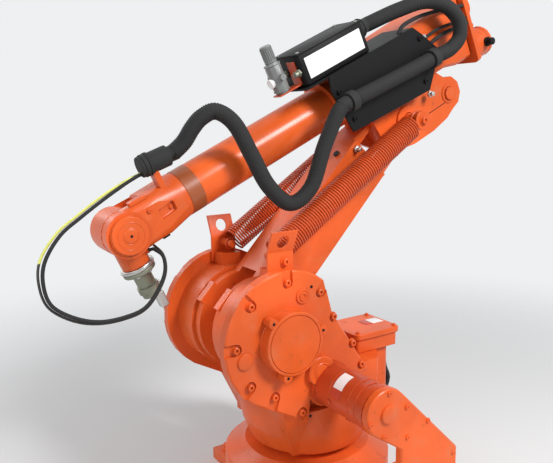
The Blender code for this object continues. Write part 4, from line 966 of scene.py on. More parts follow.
@dataclass
class Hull:
    """The castings, housings and boxes: the frame's nodes with softened edges."""

    nodes: dict[str, bpy.types.Object]
    body_of: dict[str, str]
    places: Places
    wrist_recess: Box = Box((-0.0195, -0.0105, -0.0075), (0.0195, 0.0105, 0.0150), 0.003)
    boss_room: Bar = Bar(0.0332, 0.140, 0.1665, 56)
    cast_edge: float = 0.0016
    sheet_edge: float = 0.0008
    left_as_cords: tuple[str, ...] = ("hose_upper", "hose_loop", "signal_cable", "earth_wire",
                                      "near_drop_cable", "far_drop_cable", "near_spring", "far_spring")
    remade: tuple[str, ...] = ("near_gear_cover", "far_gear_cover")
    finishes: dict[str, Finish] = field(default_factory=lambda: {
        "near_motor": Finish.DEEP_ORANGE, "far_motor": Finish.DEEP_ORANGE,
        "forearm_tube": Finish.SMOOTH_ORANGE, "side_panel": Finish.BLACK, "control_box": Finish.BLACK,
        "blank_plate": Finish.WHITE, "box_gland": Finish.RUBBER, "wrist_gland": Finish.RUBBER,
        "front_hose_clamp": Finish.RUBBER, "rear_hose_clamp": Finish.RUBBER,
        "regulator_body": Finish.GREY, "regulator_knob": Finish.GREY,
        "tool_flange": Finish.STEEL, "tool_adaptor": Finish.OLIVE, "tool_block": Finish.STEEL,
        "regulator_bracket": Finish.DEEP_ORANGE,
    })
    thin: tuple[str, ...] = ("side_panel", "blank_plate", "regulator_bracket", "junction_lid",
                             "near_spring_bracket", "far_spring_bracket")

    def build(self) -> None:
        """Dress each rigid node but those that the other classes make."""
        for name, node in self.nodes.items():
            if name in self.left_as_cords or name in self.remade:
                continue
            width = self.sheet_edge if name in self.thin else self.cast_edge
            finish = self.finishes.get(name, Finish.ORANGE)
            softened(node, self.body_of[name], finish, width, self.cutter(name))

    def cutter(self, name: str) -> bpy.types.Object | None:
        """The shape to cut out of a node's copy: the wrist's recess, or room for a plug's boss.

        Args:
            name: the node's name.

        Returns:
            The closed shape, or None where nothing is cut out.
        """
        if name == "wrist_fork":
            recess = Workpiece().block(self.wrist_recess, RECESS_FRAME)
            return recess.shape("recess_cutter", self.places.forearm)
        for side in SIDES:
            if name == side_name(side) + "_motor":
                axis = self.places.at("axis_2")
                x, z = HousingFittings.boss
                seat = facing((axis.x + x, 0, axis.z + z), (0, side, 0))
                return Workpiece().bar(self.boss_room, seat).shape("boss_cutter")
        return None


@dataclass
class BalanceSpring:
    """One open coil between the stand's bracket and the elbow pin."""

    side: int
    places: Places
    wire_radius: float = 0.0024
    coil_radius: float = 0.0265
    turns: int = 72
    steps_each_turn: int = 20
    spread: float = 0.088
    anchor: Point = (0.150, 0.0, 0.640)
    anchor_clearance: float = 0.0117
    collar_clearance: float = 0.0257

    def build(self) -> None:
        """Wind the coil by a spin that climbs, and cap its ends."""
        aside = Vector((0, self.spread * self.side, 0))
        start, end = Vector(self.anchor) + aside, self.places.at("axis_3") + aside
        heading = (end - start).normalized()
        first = start + heading * self.anchor_clearance
        length = (end - heading * self.collar_clearance - first).length
        work = Workpiece()
        steps = self.turns * self.steps_each_turn
        rim = bmesh.ops.create_circle(work.mesh, cap_ends=False, segments=WIRE_SECTION,
                                      radius=self.wire_radius, matrix=wire_section(self.coil_radius))["verts"]
        bmesh.ops.spin(work.mesh, geom=rim + edges_of(rim), cent=(0, 0, 0), axis=UP,
                       dvec=(0, 0, length / steps), angle=FULL_TURN * self.turns, steps=steps)
        bmesh.ops.holes_fill(work.mesh, edges=[edge for edge in work.mesh.edges if edge.is_boundary], sides=0)
        coil_frame = framed(first, heading, (0, self.side, 0))
        spring = work.finish(side_name(self.side) + "_spring_coil", "lower_arm", Finish.SPRING, coil_frame)
        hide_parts(side_name(self.side) + "_spring")


@dataclass
class Cable:
    """A hose or cable that lies free between two holders."""

    name: str
    node: str
    body: str
    radius: float
    finish: Finish
    stretches: list[list[Vector]]
    stiffness: str = "medium"
    spacing: float = 0.8
    ribs: float = 0.0
    ripple_pitch: float = 0.0036
    ripple: tuple[float, ...] = (0, 0.5, 1, 0.5)
    bevel_resolution: int = 4

    def route(self) -> list[Vector]:
        """All points along the cable's centre line.

        Returns:
            The points, in the frame of the stretches.
        """
        points: list[Vector] = []
        step = self.ripple_pitch / len(self.ripple) if self.ribs else self.radius * 2 * self.spacing
        for stretch in self.stretches:
            points += smooth_route(stretch, step) if len(stretch) > 2 else stretch
        return points

    def build(self, place: Matrix) -> None:
        """Args:
            place: the frame of the route's points.
        """
        points = [place @ point for point in self.route()]
        curve = bpy.data.curves.new(self.name, "CURVE")
        curve.dimensions = "3D"
        curve.bevel_depth = self.radius
        curve.bevel_resolution = self.bevel_resolution
        curve.use_fill_caps = True
        spline = curve.splines.new("POLY")
        spline.points.add(len(points) - 1)
        for index, (point, where) in enumerate(zip(spline.points, points)):
            point.co = (*where, 1)
            if self.ribs:
                point.radius = 1 - self.ribs * self.ripple[index % len(self.ripple)]
        made = dress(linked(self.name, curve), self.body, self.finish)
        if self.node:
            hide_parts(self.node)
        length = sum((second - first).length for first, second in zip(points, points[1:]))
        self.radius * 2


class Lead(NamedTuple):
    """A thin lead's name, radius and route."""

    name: str
    radius: float
    route: tuple[Point, ...]


@dataclass
class Cabling:
    """Feed hose, signal cable, earth wire, drop cables and rear leads, on listed routes."""

    places: Places
    hose_radius: float = 0.017
    hose_ribs: float = 0.07
    signal_radius: float = 0.0035
    earth_radius: float = 0.0025
    drop_radius: float = 0.0065
    clamp_width: float = 0.018
    clamp_share: float = 0.6
    seat_gap: float = 0.0003
    straight_run: float = 0.014
    short_run: float = 0.010
    axis_4_offset: float = 0.120
    box_gland_tip: Point = (0.0414, 0.052, 0.2465)
    behind_box: tuple[Point, ...] = (
        (-0.050, 0.078, 0.246), (-0.115, 0.102, 0.238), (-0.164, 0.110, 0.207),
        (-0.185, 0.115, 0.165), (-0.171, 0.118, 0.130), (-0.132, 0.119, 0.117))
    rear_clamp: Point = (-0.072, 0.1195, 0.1205)
    rear_heading: Point = (1.0, 0.0, 0.05)
    along_panel: tuple[Point, ...] = ((0.005, 0.121, 0.1245), (0.100, 0.121, 0.130))
    front_clamp: Point = (0.183, 0.1195, 0.135)
    front_heading: Point = (1.0, 0.0, 0.06)
    loop: tuple[Point, ...] = (
        (0.230, 0.118, 0.005), (0.282, 0.108, -0.044), (0.340, 0.098, -0.106), (0.398, 0.092, -0.114),
        (0.428, 0.090, -0.056), (0.434, 0.088, 0.018), (0.438, 0.082, 0.088), (0.458, 0.072, 0.125),
        (0.486, 0.062, 0.127), (0.510, 0.053, 0.116), (0.534, 0.042, 0.098))
    wrist_gland: Point = (0.573, 0.032, 0.089)
    gland_rise: float = math.radians(5.0)
    gland_length: float = 0.062
    exit_drop: float = 0.012
    exit_offsets: Pair = (0.004, -0.006)
    signal: tuple[Point, ...] = (
        (0.674, 0.035, 0.082), (0.726, 0.040, 0.078), (0.780, 0.047, 0.072), (0.827, 0.053, 0.064),
        (0.872, 0.058, 0.039), (0.895, 0.062, 0.006), (0.902, 0.066, -0.034), (0.880, 0.068, -0.076),
        (0.846, 0.068, -0.109), (0.803, 0.068, -0.129), (0.762, 0.066, -0.137), (0.723, 0.063, -0.1225),
        (0.693, 0.058, -0.101), (0.678, 0.046, -0.076))
    earth: tuple[Point, ...] = (
        (0.674, 0.029, 0.085), (0.726, 0.034, 0.083), (0.780, 0.041, 0.077), (0.829, 0.047, 0.069),
        (0.877, 0.052, 0.044), (0.901, 0.056, 0.008), (0.908, 0.060, -0.036), (0.885, 0.062, -0.081),
        (0.849, 0.062, -0.114), (0.804, 0.062, -0.135), (0.761, 0.060, -0.143), (0.719, 0.057, -0.127),
        (0.688, 0.050, -0.104), (0.673, 0.034, -0.078))
    socket_reach: float = 0.037
    socket_height: float = 0.058
    socket_angles: Pair = (math.radians(38.0), math.radians(5.0))
    drop_ys: tuple[tuple[str, float], ...] = (("near", 0.038), ("far", 0.012))
    drop_top: Pair = (-0.2092, 0.372)
    drop_middle: Pair = (-0.2142, 0.30615)
    drop_tip: Pair = (-0.2078, 0.240)
    drop_bend: tuple[Point, ...] = ((-0.020, 0, 0.030), (-0.010, 0, 0))
    behind_panel: tuple[Lead, ...] = (
        Lead("rear_lead_top", 0.0045, (
            (-0.020, 0.0705, 0.168), (-0.0215, 0.080, 0.178), (-0.030, 0.081, 0.199), (-0.052, 0.082, 0.211),
            (-0.1014, 0.082, 0.2104), (-0.1623, 0.082, 0.2007), (-0.210, 0.081, 0.190),
            (-0.2497, 0.078, 0.180))),
        Lead("rear_lead_middle", 0.0035, (
            (-0.045, 0.0705, 0.125), (-0.052, 0.0795, 0.131), (-0.085, 0.081, 0.150), (-0.1034, 0.082, 0.160),
            (-0.1517, 0.082, 0.1623), (-0.1987, 0.082, 0.1565), (-0.2497, 0.078, 0.150))),
        Lead("rear_lead_low", 0.0045, (
            (-0.045, 0.0705, 0.108), (-0.052, 0.0795, 0.115), (-0.1034, 0.082, 0.139),
            (-0.1555, 0.082, 0.1458), (-0.2045, 0.082, 0.1428), (-0.2497, 0.078, 0.137))))

    @property
    def gland_place(self) -> Matrix:
        """Frame of the wrist's gland in the forearm's own, its Z forward from the hose's end."""
        return Matrix.Translation(self.wrist_gland) @ Matrix.Rotation(HALF_TURN / 2 - self.gland_rise, 4, "Y")

    @property
    def gland_heading(self) -> Vector:
        """The way the wrist's gland points."""
        return (self.gland_place.to_3x3() @ Vector(UP)).normalized()

    def build(self) -> None:
        """Lay every hose and cable."""
        self.hoses()
        self.wrist_cables()
        self.drop_cables()
        self.rear_leads()

    def hoses(self) -> None:
        """The feed hose, in one stretch on the upper arm and one free loop to the wrist."""
        front, rear = Vector(self.front_clamp), Vector(self.rear_clamp)
        ahead = Vector(self.front_heading).normalized()
        along = Vector(self.rear_heading).normalized()
        gland = Vector(self.box_gland_tip)
        end = front + ahead * self.clamp_width * self.clamp_share
        over = [gland - Vector((self.straight_run, 0, 0)), *vectors(self.behind_box),
                rear - along * self.clamp_width, rear + along * self.clamp_width,
                *vectors(self.along_panel), front - ahead * self.clamp_width]
        Cable("feed_hose_upper", "hose_upper", "upper_arm", self.hose_radius, Finish.RUBBER,
              [[gland], over, [end]], ribs=self.hose_ribs).build(self.places.upper_arm)
        start = end + ahead * self.seat_gap - Vector((0, 0, self.axis_4_offset))
        tip = self.gland_place @ Vector((0, 0, -self.seat_gap))
        free = [start + ahead * self.straight_run, *vectors(self.loop),
                tip - self.gland_heading * self.straight_run]
        Cable("feed_hose_loop", "hose_loop", "forearm", self.hose_radius, Finish.RUBBER,
              [[start], free, [tip]], ribs=self.hose_ribs).build(self.places.forearm)

    def wrist_cables(self) -> None:
        """Signal cable and earth wire, from the wrist gland to the wrist's neck."""
        to_forearm = self.places.forearm.inverted() @ self.places.flange
        runs = (("signal_lead", "signal_cable", self.signal, self.signal_radius, Finish.RUBBER),
                ("earth_lead", "earth_wire", self.earth, self.earth_radius, Finish.WIRE))
        for (name, node, middle, radius, finish), offset, angle in zip(
                runs, self.exit_offsets, self.socket_angles):
            start = self.gland_place @ Vector((self.exit_drop, offset, self.gland_length + self.seat_gap))
            outward = Vector((math.cos(angle), math.sin(angle), 0))
            socket = outward * (self.socket_reach + self.seat_gap) + Vector((0, 0, self.socket_height))
            tip = to_forearm @ socket
            leaving = (to_forearm.to_3x3() @ outward).normalized()
            bend = [start + self.gland_heading * self.short_run, *vectors(middle),
                    tip + leaving * self.short_run]
            Cable(name, node, "forearm", radius, finish, [[start], bend, [tip]]).build(self.places.forearm)

    def drop_cables(self) -> None:
        """Two cables from the junction box down into the back of the stand."""
        for side, y in self.drop_ys:
            top, middle, tip = (Vector((x, y, z)) for x, z in (
                self.drop_top, self.drop_middle, self.drop_tip))
            bend = [top - Vector((0, 0, self.short_run)), middle,
                    *(tip + offset for offset in vectors(self.drop_bend))]
            Cable(side + "_drop_lead", side + "_drop_cable", "stand", self.drop_radius, Finish.RUBBER,
                  [[top], bend, [tip]], stiffness="stiff").build(UPRIGHT)

    def rear_leads(self) -> None:
        """Three leads behind the panel, from the housing's side to the rear plate."""
        for lead in self.behind_panel:
            Cable(lead.name, "", "upper_arm", lead.radius, Finish.RUBBER, [vectors(lead.route)],
                  stiffness="stiff").build(self.places.upper_arm)


@dataclass
class Fastening:
    """Cap screws of one size on one body, made as one piece."""

    name: str
    body: str
    size: Screw
    finish: Finish = Finish.ORANGE

    def build(self, seats: Sequence[Matrix], place: Matrix | None = None) -> None:
        """Set a screw on each seat.

        Args:
            seats: frames on the surface, their Z looking out of it.
            place: the frame that the seats are given in.
        """
        work = Workpiece()
        for seat in seats:
            work.screw(self.size, seat)
        work.finish(self.name, self.body, self.finish, place)


@dataclass
class HousingFittings:
    """Turned cover, screws and plugs of one gear housing."""

    side: int
    axis: Vector
    face: float = 0.151
    pocket_floor: float = 0.145
    bolt: Screw = Screw(0.0070, 0.0075, 0.0096)
    bolt_circle: float = 0.121
    bolt_degrees: tuple[float, ...] = (-74.0, -42.0, 1.4, 44.7, 90.0, 132.5, 165.7)
    tail_bolts: tuple[Pair, ...] = ((-0.034, -0.167), (-0.170, -0.040), (-0.195, -0.094))
    cover: Turning = Turning((
        (0, 0.0003), (0.0680, 0.0003), (0.0680, 0.0020), (0.0672, 0.0030), (0.0668, 0.0272),
        (0.0652, 0.0288), (0.0608, 0.0290), (0.0605, 0.0262), (0.0595, 0.0262), (0.0592, 0.0290),
        (0, 0.0290)), 80)
    lug: Bar = Bar(0.0105, 2 * MILLIMETRE, 0.0268, 28, 0.0008)
    lug_circle: float = 0.0715
    lug_degrees: tuple[float, ...] = (45.0, -75.5, 167.0)
    # small cap screws in the lug tops, black all over as painted shade of the holes they sit in
    lug_screw_painted_shade: Screw = Screw(0.0030, 0.0008)
    oil_plug: Pair = (-0.0362, 0.0877)
    oil_plug_shape: Turning = Turning((
        (0, 0), (0.0158, 0), (0.0158, 0.0026), (0.0148, 0.0036), (0.0124, 0.0036), (0.0118, 0.0026),
        (0.0096, 0.0026), (0.0090, 0.0048), (0.0056, 0.0048), (0.0048, 0.0026), (0, 0.0026)), 28)
    boss: Pair = (-0.0765, -0.0800)
    boss_shape: Turning = Turning((
        (0, 0.0003), (0.0325, 0.0003), (0.0325, 0.0122), (0.0304, 0.0142), (0.0198, 0.0144),
        (0.0196, 0.0156), (0.0182, 0.0166), (0.0168, 0.0166), (0.0160, 0.0152), (0.0150, 0.0166),
        (0.0080, 0.0178), (0, 0.0182)), 56)
    dot: Bar = Bar(0.0032, 0, 0.0008, 14)
    dots: tuple[Pair, ...] = ((-0.0585, 0.1043), (-0.0549, -0.1798))

    def on_face(self, points: Sequence[Pair], reach: float) -> list[Matrix]:
        """Seats at points given from axis 2."""
        return side_seats([(self.axis.x + x, self.axis.z + z) for x, z in points], reach, self.side)

    def build(self) -> None:
        """Make the cover, then what stands on the face."""
        name = side_name(self.side)
        middle, plug_seat, boss_seat = self.on_face([(0, 0), self.oil_plug, self.boss], self.face)
        work = Workpiece().turned(self.cover, middle)
        lugs = self.on_face(circle_points(self.lug_circle, self.lug_degrees), self.face)
        for seat in lugs:
            work.bar(self.lug, seat)
        cover = work.finish(name + "_turned_cover", "stand", Finish.ORANGE)
        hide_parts(name + "_gear_cover")
        bolts = [*circle_points(self.bolt_circle, self.bolt_degrees), *self.tail_bolts]
        Fastening(name + "_housing_screws", "stand", self.bolt).build(self.on_face(bolts, self.pocket_floor))
        tops = [seat @ Matrix.Translation((0, 0, self.lug.high)) for seat in lugs]
        # black lug screws: real screws, their black is painted shade of their holes
        Fastening(name + "_cover_screws", "stand", self.lug_screw_painted_shade, Finish.BLACK).build(tops)
        plug = Workpiece().turned(self.oil_plug_shape, plug_seat)
        plug.finish(name + "_oil_plug", "stand", Finish.ORANGE)
        boss = Workpiece().turned(self.boss_shape, boss_seat)
        boss.finish(name + "_plug_boss", "stand", Finish.ORANGE)
        dots = Workpiece()
        for seat in self.on_face(self.dots, self.face):
            dots.bar(self.dot, seat)
        dots.finish(name + "_face_dots", "stand", Finish.BLACK)


@dataclass
class MotorFittings:
    """Rings, pads, blank plates and cover screws of one motor beside the stand."""

    side: int
    axis: Pair = (0.046, 0.360)
    radius: float = 0.0470
    ring_wire: float = 0.0009
    ring_sides: int = 56
    rings: tuple[float, ...] = (0.2115, 0.272, 0.292)
    pad: Bar = Bar(0.0060, 0, 0.0034, 20, 0.0006)
    pads: tuple[Pair, ...] = ((-12.0, 0.212), (-52.0, 0.256))
    cover_face: float = 0.338
    cap: Turning = Turning((
        (0, 0.0001), (0.0180, 0.0001), (0.0180, 0.0046), (0.0166, 0.0064), (0.0120, 0.0074), (0, 0.0078)), 36)
    cover_bolt: Screw = Screw(0.0044, 0.0026, 0.0060, 0.0008)
    cover_bolts: tuple[Pair, ...] = (
        (0.0436, 0.402), (-0.003, 0.363), (0.090, 0.350), (0.055, 0.315), (-0.0065, 0.298),
        (-0.062, 0.318), (-0.140, 0.225), (-0.140, 0.112), (-0.005, 0.112), (-0.005, 0.200))
    plates: tuple[tuple[str, float, float, Finish], ...] = (
        ("motor_white_plate", 30.0, 78.0, Finish.WHITE), ("motor_red_plate", 8.0, 30.0, Finish.RED))
    plate_span: Pair = (0.220, 0.247)
    plate_gap: float = MILLIMETRE / 10
    plate_thickness: float = 0.0006

    def build(self) -> None:
        """Make the fittings; the plates are on the near motor alone."""
        name = side_name(self.side)
        axis = framed((self.axis[0], 0, self.axis[1]), (0, self.side, 0), AHEAD)
        work = Workpiece()
        for reach in self.rings:
            work.ring(Wire(self.radius, self.ring_wire, reach, self.ring_sides), axis)
        for degrees, reach in self.pads:
            x, z = circle_points(self.radius - MILLIMETRE, [degrees], self.axis)[0]
            outward = (x - self.axis[0], 0, z - self.axis[1])
            work.bar(self.pad, facing((x, reach * self.side, z), outward))
        work.finish(name + "_motor_rings", "stand", Finish.DEEP_ORANGE)
        Fastening(name + "_motor_cover_screws", "stand", self.cover_bolt).build(
            side_seats(self.cover_bolts, self.cover_face, self.side))
        cap = Workpiece().turned(self.cap, side_seats([self.axis], self.cover_face, self.side)[0])
        cap.finish(name + "_motor_cap", "stand", Finish.ORANGE)
        if self.side < 0:
            return
        for plate, start, end, finish in self.plates:
            sweep = (math.radians(-end), math.radians(end - start))
            made = Workpiece().shell(self.radius + self.plate_gap, self.plate_thickness, self.plate_span,
                                     sweep, axis)
            made.finish(plate, "stand", finish)


@dataclass
class StandFittings:
    """Screws, nuts and blank plates of the foot, the stand's box and pillar, and the spring brackets."""

    anchor: Point = (0.150, 0.088, 0.640)
    anchor_eye: Wire = Wire(0.0116, 0.0024)
    lid_top: float = 0.4193
    lid_bolt: Screw = Screw(0.0046, 0.0032, 0.0064, 0.0008)
    lid_bolts: tuple[Pair, ...] = ((-0.097, 0.075), (-0.210, 0.075), (-0.210, -0.026), (-0.097, -0.026))
    plates: tuple[tuple[str, Box, Finish], ...] = (
        ("lid_white_plate", Box((-0.212, 0.004, 0.4193), (-0.178, 0.036, 0.4201), 0.0003), Finish.WHITE),
        ("lid_red_plate", Box((-0.178, 0.004, 0.4193), (-0.155, 0.036, 0.4201), 0.0003), Finish.RED),
        ("pillar_plate", Box((-0.163, 0.068, 0.3245), (-0.129, 0.0688, 0.344), 0.0003), Finish.STEEL))
    cable_nut: Turning = flat_ring(0.0078, 0.0108, 0, 0.0125, 6)
    cable_seats: tuple[Point, ...] = ((-0.2092, 0.012, 0.3590), (-0.2092, 0.038, 0.3590))
    stud_washer: Turning = flat_ring(0.0090, 0.0180, 0, 0.0030, 28)
    stud_nut: Turning = flat_ring(0.0104, 0.0150, 0.003, 0.0150, 6)
    studs: tuple[Pair, ...] = ((0.096, 0.190), (0.096, -0.190), (-0.096, -0.190))
    foot_top: float = 0.030
    foot_bolt: Screw = Screw(0.0110, 0.0110, 0.0170, 0.0030)
    foot_bolts: tuple[Pair, ...] = ((0.08, 0.262), (-0.08, 0.262), (0.08, -0.262), (-0.08, -0.262))
    bracket_bolt: Screw = Screw(0.0072, 0.0066, 0.0105)
    bracket_seat: Pair = (0.1405, 0.6345)
    bracket_reach: float = 0.126

    def build(self) -> None:
        """Make the foot's fittings, then the turning stand's."""
        Fastening("junction_lid_screws", "stand", self.lid_bolt).build(
            [facing((x, y, self.lid_top), UP) for x, y in self.lid_bolts])
        for name, box, finish in self.plates:
            Workpiece().block(box).finish(name, "stand", finish)
        nuts = Workpiece()
        for point in self.cable_seats:
            nuts.turned(self.cable_nut, facing(point, UP))
        nuts.finish("drop_cable_nuts", "stand", Finish.STEEL)
        nuts = Workpiece()
        for x, y in self.studs:
            seat = facing((x, y, self.foot_top), UP)
            nuts.turned(self.stud_washer, seat).turned(self.stud_nut, seat)
        nuts.finish("floor_stud_nuts", "base", Finish.ORANGE)
        Fastening("foot_screws", "base", self.foot_bolt).build(
            [facing((x, y, self.foot_top), UP) for x, y in self.foot_bolts])
        x, y, z = self.anchor
        for side in SIDES:
            name = side_name(side)
            Fastening(name + "_bracket_screw", "stand", self.bracket_bolt).build(
                side_seats([self.bracket_seat], self.bracket_reach, side))
            eye = Workpiece().ring(self.anchor_eye, facing((x, y * side, z), (0, side, 0)))
            eye.finish(name + "_lower_spring_eye", "stand", Finish.SPRING)


@dataclass
class LinkFittings:
    """Rings and screws at the elbow and the ear, and the lower arm's small fittings."""

    places: Places
    pin_body: str
    elbow_ring: Turning = flat_ring(0.0195, 0.0360, 0.0555, 0.0615, 44, 0.0012)
    ear_ring: Turning = flat_ring(0.0168, 0.0235, 0.0555, 0.0580, 36)
    ear_x: float = -0.150
    pin_end: float = 0.108
    pin_screw: Screw = Screw(0.0085, 0.0050, 0.0125)
    spring_eye: Wire = Wire(0.0206, 0.0024)
    spring_reach: float = 0.088
    seam: Box = Box((-0.1300, 0.0552, -0.0168), (-0.0400, 0.0560, -0.0152))
    pipe_seat: Point = (0.069, 0.050, 0.450)
    pipe_nut: Bar = Bar(0.0085, 0, 0.007, 6, 0.0006)
    pipe_end: Bar = Bar(0.0048, 0.006, 0.017, 16, 0.0006)
    plug_seat: Point = (0.084, 0.020, 0.420)
    plug: Bar = Bar(0.0075, 0, 0.005, 20, 0.0008)

    def beside_elbow(self, reach: float) -> list[Matrix]:
        """Outward seats on axis 3, that far to the near and the far side."""
        elbow = self.places.at("axis_3")
        return [facing(elbow + Vector((0, reach * side, 0)), (0, side, 0)) for side in SIDES]

    def build(self) -> None:
        """Make the fittings of both sides, then those of the near side alone."""
        upper, lower = self.places.upper_arm, self.places.lower_arm
        rings = Workpiece()
        for side, seat in zip(SIDES, self.beside_elbow(self.spring_reach)):
            outward = (0, side, 0)
            rings.turned(self.elbow_ring, facing((0, 0, 0), outward))
            rings.turned(self.ear_ring, facing((self.ear_x, 0, 0), outward))
            eye = Workpiece().ring(self.spring_eye, seat)
            eye.finish(side_name(side) + "_upper_spring_eye", "lower_arm", Finish.SPRING)
        rings.finish("elbow_rings", "upper_arm", Finish.ORANGE, upper)
        Fastening("elbow_pin_screws", self.pin_body, self.pin_screw).build(self.beside_elbow(self.pin_end))
        Workpiece().block(self.seam).finish("cheek_seam", "upper_arm", Finish.BLACK, upper)
        seat = facing(self.pipe_seat, NEARWARD)
        fitting = Workpiece().bar(self.pipe_nut, seat).bar(self.pipe_end, seat)
        fitting.finish("lower_arm_pipe_fitting", "lower_arm", Finish.STEEL, lower)
        plug = Workpiece().bar(self.plug, facing(self.plug_seat, AHEAD))
        plug.finish("lower_arm_plug", "lower_arm", Finish.RUBBER, lower)


@dataclass
class UpperArmFittings:
    """Panel, box, regulator and rear motor fittings of the upper arm."""

    places: Places
    panel_face: float = 0.098
    panel_bolt: Screw = Screw(0.0052, 0.0034, 0.0072, 0.0008)
    panel_bolts: tuple[Pair, ...] = (
        (0.175, 0.09), (0.19, 0.16), (-0.05, 0.075), (-0.09, 0.125), (-0.07, 0.17))
    panel_post: Bar = Bar(0.0060, 0.0703, 0.0937)
    post_seat: Point = (-0.090, 0, 0.166)
    body_seat: Point = (-0.076, 0.070, 0.032)
    body_nut: Bar = Bar(0.0085, 0, 0.006, 6, 0.0006)
    body_end: Bar = Bar(0.0055, 0.005, 0.014, 18, 0.0008)
    box_lid: Box = Box((0.0670, -0.0010, 0.2655), (0.2520, 0.0910, 0.2700), 0.0010)
    box_bolt: Screw = Screw(0.0036, 0.0016)
    box_bolts: tuple[Pair, ...] = ((0.076, 0.008), (0.243, 0.008), (0.243, 0.082), (0.076, 0.082))
    box_front: float = 0.251
    connectors: tuple[Pair, ...] = ((0.078, 0.232), (0.030, 0.232))
    connector_nut: Bar = Bar(0.0085, 0, 0.0050, 6, 0.0005)
    connector_end: Bar = Bar(0.0062, 0.0045, 0.0150, 20, 0.0008)
    gland: Point = (0.0677, 0.052, 0.2465)
    gland_rings: tuple[Wire, ...] = tuple(
        Wire(0.0208, 0.0013, reach, 36) for reach in (0.0045, 0.0100, 0.0215))
    regulator: Pair = (0.296, 0.060)
    knob_rib: Bar = Bar(0.0011, 0.2800, 0.3070, 6)
    knob_ribs: int = 18
    knob_radius: float = 0.0119
    collars: tuple[Wire, ...] = (
        Wire(0.0168, 0.0012, 0.2700, 36), Wire(0.0168, 0.0012, 0.2150, 36), Wire(0.0119, 0.0013, 0.2772, 36))
    gauge_seat: Point = (0.312, 0.060, 0.236)
    gauge: Bar = Bar(0.0098, -0.004, 0.0050, 28, 0.0006)
    gauge_rings: tuple[Wire, ...] = (Wire(0.0088, 0.0012, 0.0050, 28), Wire(0.0050, 0.0008, 0.0050, 22))
    plate_back: float = -0.262
    plate_bolt: Screw = Screw(0.0056, 0.0050, 0.0078)
    plate_bolts: tuple[Pair, ...] = tuple((y, z) for y in (0.074, -0.074) for z in (0.045, 0.125, 0.204))
    motor_back: float = -0.3253
    motors: tuple[Pair, ...] = ((0.0, 0.160), (0.041, 0.068), (-0.041, 0.068))
    motor_rings: tuple[Wire, ...] = (Wire(0.0150, 0.0009), Wire(0.0370, 0.0009, -0.0130, 40))
    motor_screw: Screw = Screw(0.0034, 0.0024)
    motor_screw_circle: float = 0.0285
    motor_screw_degrees: tuple[float, ...] = (45, 135, 225, 315)
    plug_ways: tuple[Pair, ...] = ((0.0, 1.0), (1.0, 0.0), (-1.0, 0.0))
    plug_inset: float = 0.024
    plug_reach: float = 0.0355
    plug_foot: Bar = Bar(0.0115, 0, 0.006, 20, 0.0008)
    plug_head: Bar = Bar(0.0090, 0.005, 0.020, 20, 0.0012)

    @property
    def place(self) -> Matrix:
        """The upper arm's own frame."""
        return self.places.upper_arm

    def finish(self, work: Workpiece, name: str, finish: Finish) -> None:
        """Close a piece of the upper arm."""
        work.finish(name, "upper_arm", finish, self.place)

    def build(self) -> None:
        """Make the fittings, all in the upper arm's own frame."""
        self.panel_and_box()
        self.regulator_parts()
        self.rear_motors()

    def panel_and_box(self) -> None:
        """Screws, the box's lid, its connectors and the gland's rings."""
        Fastening("panel_screws", "upper_arm", self.panel_bolt, Finish.BLACK).build(
            side_seats(self.panel_bolts, self.panel_face), self.place)
        self.finish(Workpiece().block(self.box_lid), "box_lid", Finish.BLACK)
        Fastening("box_screws", "upper_arm", self.box_bolt, Finish.STEEL).build(
            [facing((x, y, self.box_lid.high[2]), UP) for x, y in self.box_bolts], self.place)
        work = Workpiece()
        for y, z in self.connectors:
            seat = facing((self.box_front, y, z), AHEAD)
            work.bar(self.connector_nut, seat).bar(self.connector_end, seat)
        self.finish(work, "box_connectors", Finish.OLIVE)
        work = Workpiece()
        for wire in self.gland_rings:
            work.ring(wire, facing(self.gland, BACK))
        self.finish(work, "box_gland_rings", Finish.RUBBER)
        self.finish(Workpiece().bar(self.panel_post, facing(self.post_seat, NEARWARD)), "panel_post",
                    Finish.STEEL)
        seat = facing(self.body_seat, NEARWARD)
        self.finish(Workpiece().bar(self.body_nut, seat).bar(self.body_end, seat), "body_fitting",
                    Finish.STEEL)

    def regulator_parts(self) -> None:
        """Knob ribs, collar rings and gauge."""
        axis = facing((*self.regulator, 0), UP)
        work = Workpiece()
        for index in range(self.knob_ribs):
            work.bar(self.knob_rib, spoke(axis, index, self.knob_ribs, self.knob_radius))
        for wire in self.collars:
            work.ring(wire, axis)
        self.finish(work, "regulator_ribs", Finish.GREY)
        seat = facing(self.gauge_seat, AHEAD)
        gauge = Workpiece().bar(self.gauge, seat)
        for wire in self.gauge_rings:
            gauge.ring(wire, seat)
        self.finish(gauge, "regulator_gauge", Finish.WHITE)

    def rear_motors(self) -> None:
        """Plate screws, end rings, end screws and plugs of the three rear motors."""
        Fastening("rear_plate_screws", "upper_arm", self.plate_bolt).build(
            [facing((self.plate_back, y, z), BACK) for y, z in self.plate_bolts], self.place)
        seats, rings, plugs = [], Workpiece(), Workpiece()
        for (y, z), (across, up) in zip(self.motors, self.plug_ways):
            for dy, dz in circle_points(self.motor_screw_circle, self.motor_screw_degrees):
                seats.append(facing((self.motor_back, y + dy, z + dz), BACK))
            for wire in self.motor_rings:
                rings.ring(wire, facing((self.motor_back, y, z), BACK))
            root = (self.motor_back + self.plug_inset, y + across * self.plug_reach, z + up * self.plug_reach)
            outward = facing(root, (0, across, up))
            plugs.bar(self.plug_foot, outward).bar(self.plug_head, outward)
        Fastening("rear_motor_screws", "upper_arm", self.motor_screw).build(seats, self.place)
        self.finish(rings, "rear_motor_rings", Finish.ORANGE)
        self.finish(plugs, "rear_motor_plugs", Finish.BLACK)


